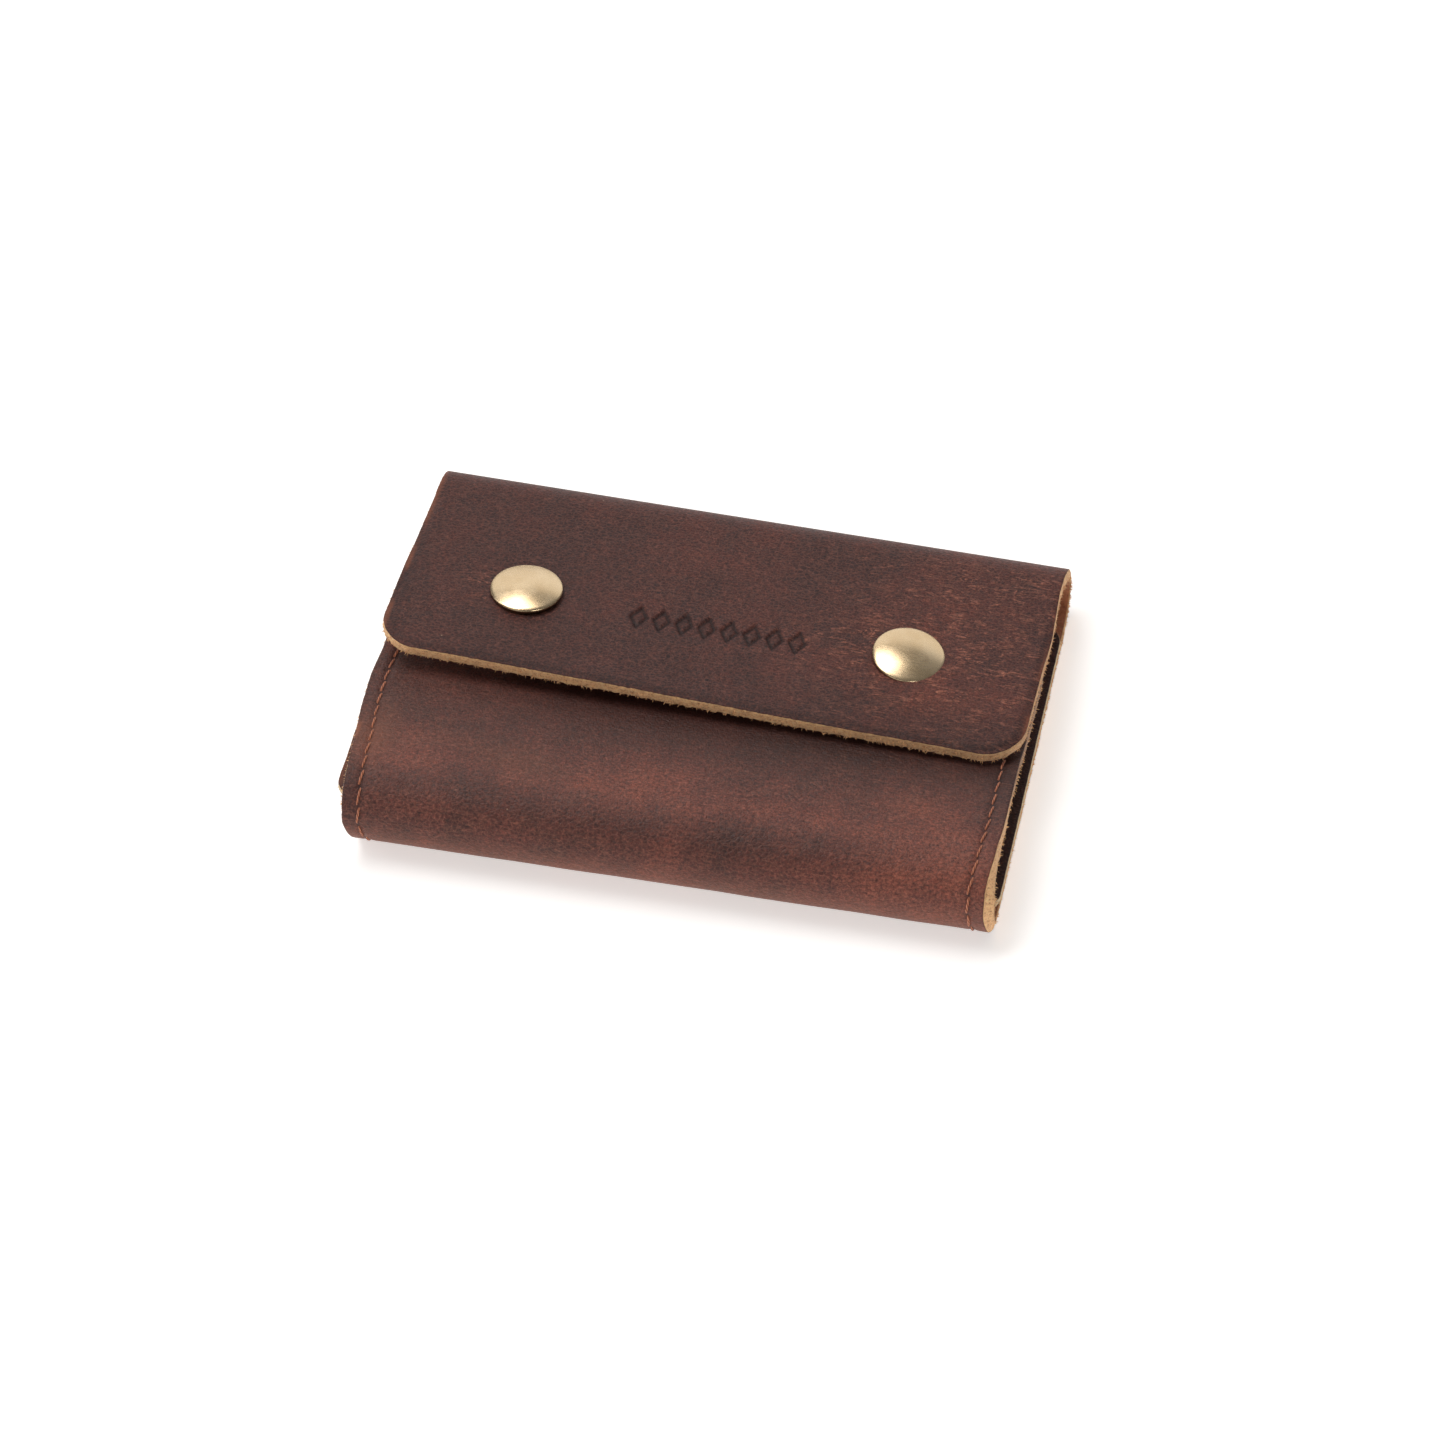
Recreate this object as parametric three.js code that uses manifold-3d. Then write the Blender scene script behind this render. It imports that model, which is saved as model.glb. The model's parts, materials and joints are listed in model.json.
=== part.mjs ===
// Leather key organiser, closed and buttoned. Millimetres: +X along its width, +Y to the back fold,
// +Z up from the table it lies on. One long strip of leather makes the base, the back fold, the flap,
// the front fold and the front panel; the key hooks hang from a bar on the base's inner leather.
import * as THREE from "three";
import { mergeVertices } from "three/addons/utils/BufferGeometryUtils.js";
import Module from "manifold-3d";

const wasm = await Module();
wasm.setup();

// outer leather strip
const WIDTH = 110;
const LEATHER = 2;
const SEAM_GAP = 0.1;
const FOLD_GAP = 0.3;
const BACK_FOLD_Y = 34;
const BACK_FOLD_R = 6;
const FRONT_FOLD_Y = -32.75;
const FRONT_FOLD_R = 7.25;
const FOLD_STEPS = 20;

// flap
const FLAP_SLOPE = THREE.MathUtils.degToRad(5.6);
const FLAP_TIP_Y = -9.5;
const FLAP_CORNER_R = 7;

// inner leather on the base
const INNER_THICK = 1.4;
const INNER_FRONT_Y = -31;
const INNER_BACK_Y = 30;
const INNER_CORNER_R = 4;

// front panel: heights of the middle of its leather, from the front fold to its free edge
const PANEL_LINE = [
  [-27, 13.2],
  [-21, 12.9],
  [-15, 12.25],
  [-9, 11.15],
  [-3, 9.75],
];
const PANEL_FLAT_FROM_Y = 3;
const PANEL_EDGE_Y = 15;
const PANEL_STEPS = 34;
const LINER_THICK = 0.8;
const LINER_FRONT_Y = -30;
const LINER_BACK_Y = 1.5;

// seams of the front panel
const STITCH_X = 52.2;
const STITCH_WIDE = 0.7;
const STITCH_HIGH = 0.4;
const STITCH_FRONT_Y = -31;
const STITCH_BACK_Y = 13;

// snap fasteners
const SNAP_X = 33;
const SNAP_Y = 8.5;
const CAP_R = 6.2;
const CAP_HIGH = 1.9;
const POST_R = 1.6;
const POST_REACH = 2.75;
const POST_HOLE_R = 1.75;
const SOCKET_R = 5.2;
const SOCKET_DEEP = 2.4;
const SOCKET_MOUTH_R = 3.2;
const SOCKET_ROOF = 0.9;
const PANEL_DROP = 5.15;
const STUD_R = 4.8;
const STUD_FLANGE = 0.5;
const NIB_R = 2.05;
const NIB_NECK_R = 1.75;
const NIB_HIGH = 1.6;
const EYELET_R = 4.3;
const EYELET_FLANGE = 0.5;
const EYELET_BORE_R = 0.9;
const EYELET_BARREL_R = 1.5;
const SNAP_FACETS = 32;

// key bar and its rivets
const BAR_LONG = 86;
const BAR_WIDE = 8;
const BAR_THICK = 0.8;
const BAR_Y = 23;
const BAR_BEVEL = 0.15;
const RIVET_X = 39;
const RIVET_R = 1.4;
const RIVET_HEAD_R = 2.5;
const RIVET_HEAD_HIGH = 0.8;
const RIVET_HOLE_R = 1.55;

// key hooks, hanging from the bar towards the front fold
const HOOKS = 6;
const HOOK_PITCH = 13;
const HOOK_THICK = 1.2;
const HOOK_LIFT = 0.15;
const EYE_R = 2.6;
const PIN_R = 1;
const PIN_HOLE_R = 1.1;
const PIN_HEAD_R = 1.9;
const PIN_HEAD_HIGH = 0.6;
const SHANK_WIDE = 2.6;
const LOOP_Y = -15.2;
const LOOP_OUTER = [4.2, 5.2];
const LOOP_INNER = [2.9, 3.9];
const GATE_X = 3.25;
const GATE_TOP_Y = -12.6;
const GATE_END_Y = -17;
const GATE_HALF = 0.55;
const GATE_BOSS_R = 1;
const GATE_PEG_R = 0.38;
const GATE_PEG_HOLE_R = 0.46;
const GATE_LAP = 0.4;
const GATE_START = 1.9;
const NOSE_GAP = 0.15;
const HOOK_FACETS = 20;
const ARC_FACETS = 5;
const LOOP_FACETS = 14;

const BASE_TOP = LEATHER;
const INNER_BOTTOM = BASE_TOP + SEAM_GAP;
const INNER_TOP = INNER_BOTTOM + INNER_THICK;
const BAR_BOTTOM = INNER_TOP + SEAM_GAP;
const BAR_TOP = BAR_BOTTOM + BAR_THICK;
const HOOK_BOTTOM = BAR_TOP + HOOK_LIFT;
const HOOK_TOP = HOOK_BOTTOM + HOOK_THICK;

const colours = {
  leather: { color: 0x5a3a34, roughness: 0.55, metalness: 0 },
  innerLeather: { color: 0x3c2a26, roughness: 0.6, metalness: 0 },
  thread: { color: 0xa0673f, roughness: 0.8, metalness: 0 },
  brass: { color: 0xc9b184, roughness: 0.35, metalness: 1 },
  steel: { color: 0xb9b9b6, roughness: 0.3, metalness: 1 },
};

const part = new THREE.Group();
part.name = "key_organiser";

// A closed geometry as a solid that can be cut and joined.
function solidOf(geometry) {
  const bare = geometry.clone();
  bare.deleteAttribute("normal");
  bare.deleteAttribute("uv");
  const merged = mergeVertices(bare, 1e-4);
  return new wasm.Manifold(
    new wasm.Mesh({
      numProp: 3,
      vertProperties: merged.attributes.position.array,
      triVerts: new Uint32Array(merged.index.array),
    }),
  );
}

// A solid as a geometry that three.js can show.
function geometryOf(solid) {
  const mesh = solid.getMesh();
  const geometry = new THREE.BufferGeometry();
  geometry.setAttribute("position", new THREE.BufferAttribute(mesh.vertProperties, 3));
  geometry.setIndex(new THREE.BufferAttribute(mesh.triVerts, 1));
  geometry.computeVertexNormals();
  return geometry;
}

// Adds one named piece to a group.
function place(name, geometry, look, parent = part) {
  const mesh = new THREE.Mesh(geometry, new THREE.MeshStandardMaterial(colours[look]));
  mesh.name = name;
  parent.add(mesh);
  return mesh;
}

// An upright cylinder from one height to another, centred on x and y.
function cylinder(radius, x, y, low, high, facets) {
  const geometry = new THREE.CylinderGeometry(radius, radius, high - low, facets);
  geometry.rotateX(Math.PI / 2);
  geometry.translate(x, y, (low + high) / 2);
  return geometry;
}

// A flat plate from a shape in the XY plane, from one height to another.
function plate(shape, low, high, curveSegments = ARC_FACETS) {
  const geometry = new THREE.ExtrudeGeometry(shape, {
    depth: high - low,
    bevelEnabled: false,
    curveSegments,
  });
  geometry.translate(0, 0, low);
  return geometry;
}

// A turned piece from a profile of [radius, height] pairs, rising along +Z.
function turned(profile, facets) {
  const points = profile.map(([r, z]) => new THREE.Vector2(r, z));
  const geometry = new THREE.LatheGeometry(points, facets);
  geometry.rotateX(Math.PI / 2);
  return geometry;
}

// A rectangle with its own radius at each end along Y.
function roundedShape(halfWide, lowY, highY, lowR, highR) {
  const shape = new THREE.Shape();
  shape.moveTo(-halfWide + lowR, lowY);
  shape.lineTo(halfWide - lowR, lowY);
  if (lowR > 0) shape.absarc(halfWide - lowR, lowY + lowR, lowR, -Math.PI / 2, 0, false);
  shape.lineTo(halfWide, highY - highR);
  if (highR > 0) shape.absarc(halfWide - highR, highY - highR, highR, 0, Math.PI / 2, false);
  shape.lineTo(-halfWide + highR, highY);
  if (highR > 0) shape.absarc(-halfWide + highR, highY - highR, highR, Math.PI / 2, Math.PI, false);
  shape.lineTo(-halfWide, lowY + lowR);
  if (lowR > 0) shape.absarc(-halfWide + lowR, lowY + lowR, lowR, Math.PI, 1.5 * Math.PI, false);
  return shape;
}

// A curved sheet: a line of [y, z] points through the middle of the leather, given its thickness
// and carried along X from one side to the other.
function sheet(line, thickness, fromX, toX, lift = 0) {
  const normals = line.map((_, i) => {
    const before = line[Math.max(i - 1, 0)];
    const after = line[Math.min(i + 1, line.length - 1)];
    return new THREE.Vector2(before[1] - after[1], after[0] - before[0]).normalize();
  });
  const side = (offset) =>
    line.map(([y, z], i) => new THREE.Vector2(y + normals[i].x * offset, z + normals[i].y * offset));
  const lower = side(lift - thickness / 2);
  const upper = side(lift + thickness / 2).reverse();
  const geometry = new THREE.ExtrudeGeometry(new THREE.Shape([...lower, ...upper]), {
    depth: toX - fromX,
    bevelEnabled: false,
  });
  const toWorld = new THREE.Matrix4().makeBasis(
    new THREE.Vector3(0, 1, 0),
    new THREE.Vector3(0, 0, 1),
    new THREE.Vector3(1, 0, 0),
  );
  geometry.applyMatrix4(toWorld);
  geometry.translate(fromX, 0, 0);
  return geometry;
}

// Points round a fold, from one angle to another, on the middle of its leather.
function foldLine(centreY, radius, fromAngle, toAngle) {
  const middle = radius - LEATHER / 2;
  return Array.from({ length: FOLD_STEPS + 1 }, (_, i) => {
    const angle = fromAngle + ((toAngle - fromAngle) * i) / FOLD_STEPS;
    return [centreY + middle * Math.cos(angle), radius + middle * Math.sin(angle)];
  });
}

// The flap leaves the back fold where the fold has turned to the flap's slope.
const FLAP_START = new THREE.Vector2(
  BACK_FOLD_Y + BACK_FOLD_R * Math.sin(FLAP_SLOPE),
  BACK_FOLD_R + BACK_FOLD_R * Math.cos(FLAP_SLOPE),
);
const FLAP_LONG = (FLAP_START.x - FLAP_TIP_Y) / Math.cos(FLAP_SLOPE);
const SNAP_ALONG = (FLAP_START.x - SNAP_Y) / Math.cos(FLAP_SLOPE);

// The point that lies so far forward along the flap's top face and so far below it.
function flapPoint(along, below) {
  return [
    FLAP_START.x - along * Math.cos(FLAP_SLOPE) - below * Math.sin(FLAP_SLOPE),
    FLAP_START.y + along * Math.sin(FLAP_SLOPE) - below * Math.cos(FLAP_SLOPE),
  ];
}

// base, folds and inner leather
const baseShape = roundedShape(WIDTH / 2, FRONT_FOLD_Y + FOLD_GAP, BACK_FOLD_Y - FOLD_GAP, 0, 0);
place("base_panel", plate(baseShape, 0, BASE_TOP), "leather");

const innerHoles = [-RIVET_X, RIVET_X].map((x) =>
  solidOf(cylinder(RIVET_HOLE_R, x, BAR_Y, INNER_BOTTOM - 1, INNER_TOP + 1, HOOK_FACETS)),
);
const innerShape = roundedShape(
  WIDTH / 2,
  INNER_FRONT_Y,
  INNER_BACK_Y,
  INNER_CORNER_R,
  INNER_CORNER_R,
);
const innerSolid = innerHoles.reduce(
  (solid, hole) => solid.subtract(hole),
  solidOf(plate(innerShape, INNER_BOTTOM, INNER_TOP)),
);
place("inner_panel", geometryOf(innerSolid), "innerLeather");

const backLine = foldLine(
  BACK_FOLD_Y,
  BACK_FOLD_R,
  -Math.PI / 2,
  Math.PI / 2 - FLAP_SLOPE,
);
place("back_fold", sheet(backLine, LEATHER, -WIDTH / 2, WIDTH / 2), "leather");

const frontLine = foldLine(FRONT_FOLD_Y, FRONT_FOLD_R, -Math.PI / 2, -1.5 * Math.PI);
place("front_fold", sheet(frontLine.reverse(), LEATHER, -WIDTH / 2, WIDTH / 2), "leather");

// flap with its snap caps and sockets, in the flap's own sloping frame
const flapFrame = new THREE.Group();
flapFrame.position.set(0, FLAP_START.x, FLAP_START.y);
flapFrame.rotation.x = -FLAP_SLOPE;
part.add(flapFrame);

const flapShape = roundedShape(WIDTH / 2, -FLAP_LONG, -FOLD_GAP, FLAP_CORNER_R, 0);
const flapSolid = [-SNAP_X, SNAP_X].reduce(
  (solid, x) =>
    solid.subtract(solidOf(cylinder(POST_HOLE_R, x, -SNAP_ALONG, -LEATHER - 1, 1, HOOK_FACETS))),
  solidOf(plate(flapShape, -LEATHER, 0)),
);
place("flap", geometryOf(flapSolid), "leather", flapFrame);

const capProfile = [
  [0, -POST_REACH],
  [POST_R, -POST_REACH],
  [POST_R, SEAM_GAP],
  [CAP_R - 0.35, SEAM_GAP],
  [CAP_R - 0.08, 0.25],
  [CAP_R, 0.5],
  [CAP_R - 0.12, 0.78],
  [CAP_R - 0.45, 0.98],
  [4.9, 1.27],
  [3.8, 1.54],
  [2.5, 1.76],
  [1.2, 1.87],
  [0, CAP_HIGH],
];
const socketTop = -LEATHER - SEAM_GAP;
const socketEnd = -LEATHER - SOCKET_DEEP;
const socketProfile = [
  [POST_HOLE_R, socketTop],
  [POST_HOLE_R, socketTop - SOCKET_ROOF],
  [SOCKET_MOUTH_R - 0.2, socketTop - SOCKET_ROOF],
  [SOCKET_MOUTH_R - 0.1, socketEnd + 0.6],
  [SOCKET_MOUTH_R + 0.2, socketEnd],
  [SOCKET_R - 0.7, socketEnd],
  [SOCKET_R - 0.4, socketEnd + 0.7],
  [SOCKET_R, socketTop - 0.8],
  [SOCKET_R, socketTop],
  [POST_HOLE_R, socketTop],
];

const studBottom = -PANEL_DROP + SEAM_GAP;
const studProfile = [
  [0, studBottom],
  [STUD_R, studBottom],
  [STUD_R, studBottom + 0.25],
  [STUD_R - 0.5, studBottom + STUD_FLANGE],
  [NIB_NECK_R, studBottom + STUD_FLANGE],
  [NIB_NECK_R, studBottom + STUD_FLANGE + 0.35],
  [NIB_R, studBottom + STUD_FLANGE + 0.65],
  [NIB_R - 0.25, studBottom + NIB_HIGH - 0.2],
  [NIB_R - 0.9, studBottom + NIB_HIGH],
  [0, studBottom + NIB_HIGH],
];
const eyeletTop = -PANEL_DROP - SEAM_GAP;
const eyeletFlange = -PANEL_DROP - LEATHER - SEAM_GAP;
const eyeletProfile = [
  [EYELET_BORE_R, eyeletTop],
  [EYELET_BORE_R, eyeletFlange - EYELET_FLANGE + 0.2],
  [EYELET_BORE_R + 0.4, eyeletFlange - EYELET_FLANGE],
  [EYELET_R - 0.5, eyeletFlange - EYELET_FLANGE],
  [EYELET_R, eyeletFlange - 0.2],
  [EYELET_R - 0.1, eyeletFlange],
  [EYELET_BARREL_R, eyeletFlange],
  [EYELET_BARREL_R, eyeletTop],
  [EYELET_BORE_R, eyeletTop],
];

[
  ["left", -SNAP_X],
  ["right", SNAP_X],
].forEach(([side, x]) => {
  const pieces = [
    [`snap_cap_${side}`, capProfile],
    [`snap_socket_${side}`, socketProfile],
    [`snap_stud_${side}`, studProfile],
    [`snap_eyelet_${side}`, eyeletProfile],
  ];
  pieces.forEach(([name, profile]) => {
    const geometry = turned(profile, SNAP_FACETS);
    geometry.translate(x, -SNAP_ALONG, 0);
    place(name, geometry, "brass", flapFrame);
  });
});

// front panel, its pocket liner and its two seams
const panelBelow = PANEL_DROP + LEATHER / 2;
const panelEnd = [PANEL_FLAT_FROM_Y, (PANEL_FLAT_FROM_Y + PANEL_EDGE_Y) / 2, PANEL_EDGE_Y].map((y) =>
  flapPoint((FLAP_START.x - y) / Math.cos(FLAP_SLOPE), panelBelow),
);
const panelStart = [FRONT_FOLD_Y + FOLD_GAP, 2 * FRONT_FOLD_R - LEATHER / 2];
const panelCurve = new THREE.CatmullRomCurve3(
  [panelStart, ...PANEL_LINE, ...panelEnd].map(([y, z]) => new THREE.Vector3(0, y, z)),
  false,
  "centripetal",
);
const panelLine = panelCurve.getSpacedPoints(PANEL_STEPS).map((p) => [p.y, p.z]);
const between = (low, high) => panelLine.filter(([y]) => y >= low && y <= high);

const [snapWorldY, snapWorldZ] = flapPoint(SNAP_ALONG, panelBelow);
const panelSolid = [-SNAP_X, SNAP_X].reduce((solid, x) => {
  const drill = new THREE.CylinderGeometry(POST_HOLE_R, POST_HOLE_R, 3 * LEATHER, HOOK_FACETS);
  drill.rotateX(Math.PI / 2 - FLAP_SLOPE);
  drill.translate(x, snapWorldY, snapWorldZ);
  return solid.subtract(solidOf(drill));
}, solidOf(sheet(panelLine, LEATHER, -WIDTH / 2, WIDTH / 2)));
place("front_panel", geometryOf(panelSolid), "leather");

const linerLift = -(LEATHER + LINER_THICK) / 2 - SEAM_GAP;
const linerLine = between(LINER_FRONT_Y, LINER_BACK_Y);
place(
  "pocket_liner",
  sheet(linerLine, LINER_THICK, -WIDTH / 2 + 1, WIDTH / 2 - 1, linerLift),
  "innerLeather",
);

const stitchLift = (LEATHER + STITCH_HIGH) / 2 + SEAM_GAP / 2;
const stitchLine = between(STITCH_FRONT_Y, STITCH_BACK_Y);
[
  ["left", -STITCH_X],
  ["right", STITCH_X],
].forEach(([side, x]) => {
  const from = x - STITCH_WIDE / 2;
  const geometry = sheet(stitchLine, STITCH_HIGH, from, from + STITCH_WIDE, stitchLift);
  place(`panel_stitch_${side}`, geometry, "thread");
});

// key bar and the rivets that hold it to the inner leather
const hookXs = Array.from({ length: HOOKS }, (_, i) => (i - (HOOKS - 1) / 2) * HOOK_PITCH);
const barShape = roundedShape(
  BAR_LONG / 2 - BAR_BEVEL,
  BAR_Y - BAR_WIDE / 2 + BAR_BEVEL,
  BAR_Y + BAR_WIDE / 2 - BAR_BEVEL,
  BAR_WIDE / 2 - BAR_BEVEL,
  BAR_WIDE / 2 - BAR_BEVEL,
);
const barPlate = new THREE.ExtrudeGeometry(barShape, {
  depth: BAR_THICK - 2 * BAR_BEVEL,
  bevelThickness: BAR_BEVEL,
  bevelSize: BAR_BEVEL,
  bevelSegments: 1,
  curveSegments: ARC_FACETS,
});
barPlate.translate(0, 0, BAR_BOTTOM + BAR_BEVEL);
const drilled = (solid, radius, x, y, low, high) =>
  solid.subtract(solidOf(cylinder(radius, x, y, low - 1, high + 1, HOOK_FACETS)));
const barWithPins = hookXs.reduce(
  (solid, x) => drilled(solid, PIN_HOLE_R, x, BAR_Y, BAR_BOTTOM, BAR_TOP),
  solidOf(barPlate),
);
const barSolid = [-RIVET_X, RIVET_X].reduce(
  (solid, x) => drilled(solid, RIVET_HOLE_R, x, BAR_Y, BAR_BOTTOM, BAR_TOP),
  barWithPins,
);
place("key_bar", geometryOf(barSolid), "steel");

const rivetHead = BAR_TOP + SEAM_GAP;
const rivetProfile = [
  [0, INNER_BOTTOM],
  [RIVET_R, INNER_BOTTOM],
  [RIVET_R, rivetHead],
  [RIVET_HEAD_R, rivetHead],
  [RIVET_HEAD_R - 0.1, rivetHead + 0.3],
  [RIVET_HEAD_R - 0.7, rivetHead + 0.62],
  [RIVET_HEAD_R - 1.5, rivetHead + 0.75],
  [0, rivetHead + RIVET_HEAD_HIGH],
];
[
  ["left", -RIVET_X],
  ["right", RIVET_X],
].forEach(([side, x]) => {
  const geometry = turned(rivetProfile, HOOK_FACETS);
  geometry.translate(x, BAR_Y, 0);
  place(`bar_rivet_${side}`, geometry, "steel");
});

// hooks: each swings on a headed pin and is shut by a sprung gate that opens inwards
const pinHead = HOOK_TOP + SEAM_GAP;
const pinProfile = [
  [0, BAR_BOTTOM],
  [PIN_R, BAR_BOTTOM],
  [PIN_R, pinHead],
  [PIN_HEAD_R, pinHead],
  [PIN_HEAD_R, pinHead + 0.2],
  [PIN_HEAD_R - 0.4, pinHead + 0.5],
  [0, pinHead + PIN_HEAD_HIGH],
];

// An upright slab with round ends between two heights, from one Y to another.
function slab(half, x, fromY, toY, low, high) {
  const shape = new THREE.Shape();
  shape.absarc(x, Math.max(fromY, toY), half, 0, Math.PI, false);
  shape.absarc(x, Math.min(fromY, toY), half, Math.PI, 2 * Math.PI, false);
  return solidOf(plate(shape, low, high));
}

// An upright slab with an elliptical outline.
function oval([halfX, halfY], low, high) {
  const shape = new THREE.Shape();
  shape.absellipse(0, LOOP_Y, halfX, halfY, 0, 2 * Math.PI, false, 0);
  return solidOf(plate(shape, low, high, LOOP_FACETS));
}

const loopMouth = new THREE.BoxGeometry(
  LOOP_OUTER[0],
  GATE_TOP_Y - GATE_END_Y + GATE_HALF + NOSE_GAP,
  3 * HOOK_THICK,
);
loopMouth.translate(
  LOOP_OUTER[0] / 2 + 1,
  (GATE_TOP_Y + GATE_END_Y - GATE_HALF - NOSE_GAP) / 2,
  HOOK_BOTTOM,
);
const hookSolid = oval(LOOP_OUTER, HOOK_BOTTOM, HOOK_TOP)
  .subtract(oval(LOOP_INNER, HOOK_BOTTOM - 1, HOOK_TOP + 1))
  .subtract(solidOf(loopMouth))
  .add(slab(SHANK_WIDE / 2, 0, -EYE_R / 2, LOOP_Y + LOOP_OUTER[1], HOOK_BOTTOM, HOOK_TOP))
  .add(slab(EYE_R, 0, 0, 0, HOOK_BOTTOM, HOOK_TOP))
  .add(slab(GATE_BOSS_R, GATE_X, GATE_TOP_Y, GATE_TOP_Y, HOOK_BOTTOM, HOOK_TOP))
  .subtract(slab(PIN_HOLE_R, 0, 0, 0, HOOK_BOTTOM - 1, HOOK_TOP + 1))
  .subtract(slab(GATE_PEG_HOLE_R, GATE_X, GATE_TOP_Y, GATE_TOP_Y, HOOK_BOTTOM - 1, HOOK_TOP + 1));

const lapBottom = HOOK_TOP + SEAM_GAP;
const lapTop = lapBottom + GATE_LAP;
const gateSolid = slab(GATE_HALF, GATE_X, GATE_TOP_Y, GATE_END_Y, lapBottom, lapTop)
  .add(slab(GATE_BOSS_R, GATE_X, GATE_TOP_Y, GATE_TOP_Y, lapBottom, lapTop))
  .add(slab(GATE_HALF, GATE_X, GATE_TOP_Y - GATE_START, GATE_END_Y, HOOK_BOTTOM, lapTop))
  .add(slab(GATE_PEG_R, GATE_X, GATE_TOP_Y, GATE_TOP_Y, HOOK_BOTTOM + 0.2, lapTop));

// Gates face outwards from the middle, so the left hooks mirror the right ones.
hookXs.forEach((x, i) => {
  const number = i + 1;
  const side = x < 0 ? -1 : 1;
  const handed = (solid) => (side < 0 ? solid.mirror([1, 0, 0]) : solid);
  const hook = geometryOf(handed(hookSolid));
  hook.translate(x, BAR_Y, 0);
  place(`hook_${number}`, hook, "steel");
  const gate = geometryOf(handed(gateSolid));
  gate.translate(x, BAR_Y, 0);
  place(`gate_${number}`, gate, "steel");
  const pin = turned(pinProfile, HOOK_FACETS);
  pin.translate(x, BAR_Y, 0);
  place(`hook_pin_${number}`, pin, "steel");
});

export default part;
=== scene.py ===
"""Looks of the closed leather key organiser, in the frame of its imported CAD.

Sheets, profiles and masks are worked out in millimetres, and turned into metres when their mesh is made."""
import json
import math

import bmesh
import bpy
import numpy as np
from mathutils import Matrix, Vector

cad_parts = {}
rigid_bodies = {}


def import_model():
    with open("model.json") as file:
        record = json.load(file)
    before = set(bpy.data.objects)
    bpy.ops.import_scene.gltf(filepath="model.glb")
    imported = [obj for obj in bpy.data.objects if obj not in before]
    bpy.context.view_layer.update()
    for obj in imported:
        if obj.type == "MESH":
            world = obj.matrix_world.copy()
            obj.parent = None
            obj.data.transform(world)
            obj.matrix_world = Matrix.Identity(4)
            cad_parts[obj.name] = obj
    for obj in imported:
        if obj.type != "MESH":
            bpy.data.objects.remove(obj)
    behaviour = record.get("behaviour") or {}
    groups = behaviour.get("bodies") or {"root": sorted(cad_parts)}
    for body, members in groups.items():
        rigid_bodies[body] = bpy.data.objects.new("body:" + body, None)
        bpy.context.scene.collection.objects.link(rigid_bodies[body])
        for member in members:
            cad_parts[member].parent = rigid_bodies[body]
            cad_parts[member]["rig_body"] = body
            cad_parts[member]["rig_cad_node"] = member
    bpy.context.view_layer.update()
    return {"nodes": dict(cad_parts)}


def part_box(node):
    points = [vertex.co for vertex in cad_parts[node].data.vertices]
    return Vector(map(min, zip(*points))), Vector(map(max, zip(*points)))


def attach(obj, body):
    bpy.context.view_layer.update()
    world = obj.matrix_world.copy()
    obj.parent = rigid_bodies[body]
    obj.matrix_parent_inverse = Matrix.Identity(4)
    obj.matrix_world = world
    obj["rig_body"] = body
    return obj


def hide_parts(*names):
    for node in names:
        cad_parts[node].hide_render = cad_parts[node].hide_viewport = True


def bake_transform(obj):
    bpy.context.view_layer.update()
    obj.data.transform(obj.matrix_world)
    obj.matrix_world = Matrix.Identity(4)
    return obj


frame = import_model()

MM = 0.001
UV_MM = 100  # millimetres of flat leather to one unit of its UV map

# The outer strip's folded shape, in millimetres, as the CAD has it. Each fold is a half turn round
# the named y, with the named outer radius, and the flap slopes up towards its tip.
LEATHER = 2.0
HALF_WIDTH = 55.0
BACK_Y, BACK_R = 34.0, 6.0
FRONT_Y, FRONT_R = -32.75, 7.25
SLOPE = math.radians(5.6)
FLAP_TIP_Y = -9.5
FLAP_CORNER_R = 7.5
PANEL_LINE = [(-27, 13.2), (-21, 12.9), (-15, 12.25), (-9, 11.15), (-3, 9.75)]
PANEL_DROP = 5.15  # from the flap's top face down to the front panel's
SNAP_X, SNAP_Y = 33.0, 8.5
EDGE_ROUND = 0.16  # how far a cut edge bulges past its faces

FLAP_START = (BACK_Y + BACK_R * math.sin(SLOPE), BACK_R + BACK_R * math.cos(SLOPE))


def flap_point(along, below):
    """The [y, z] point so far forward along the flap's top face and so far below it, in millimetres."""
    return (
        FLAP_START[0] - along * math.cos(SLOPE) - below * math.sin(SLOPE),
        FLAP_START[1] + along * math.sin(SLOPE) - below * math.cos(SLOPE),
    )


# ------------ seeded noise and soft steps


def hashed(ix, iy, seed):
    """A repeatable value from 0 to 1 for each lattice point."""
    h = (ix.astype(np.int64) * 374761393 + iy.astype(np.int64) * 668265263 + seed * 982451653) & 0xFFFFFFFF
    h = ((h ^ (h >> 13)) * 1274126177) & 0xFFFFFFFF
    return (h ^ (h >> 16)) / 4294967296.0


def noise(x, y, cell, seed):
    """Smooth value noise from -1 to 1 with features of about the cell's size."""
    x, y = np.broadcast_arrays(np.asarray(x, float) / cell, np.asarray(y, float) / cell)
    ix, iy = np.floor(x), np.floor(y)
    fx, fy = x - ix, y - iy
    fx, fy = fx * fx * (3 - 2 * fx), fy * fy * (3 - 2 * fy)
    low = hashed(ix, iy, seed) * (1 - fx) + hashed(ix + 1, iy, seed) * fx
    high = hashed(ix, iy + 1, seed) * (1 - fx) + hashed(ix + 1, iy + 1, seed) * fx
    return 2 * (low * (1 - fy) + high * fy) - 1


def bump(distance, reach):
    """1 at no distance, falling smoothly to 0 at the reach."""
    t = np.clip(1 - np.abs(distance) / reach, 0, 1)
    return t * t * (3 - 2 * t)


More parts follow.
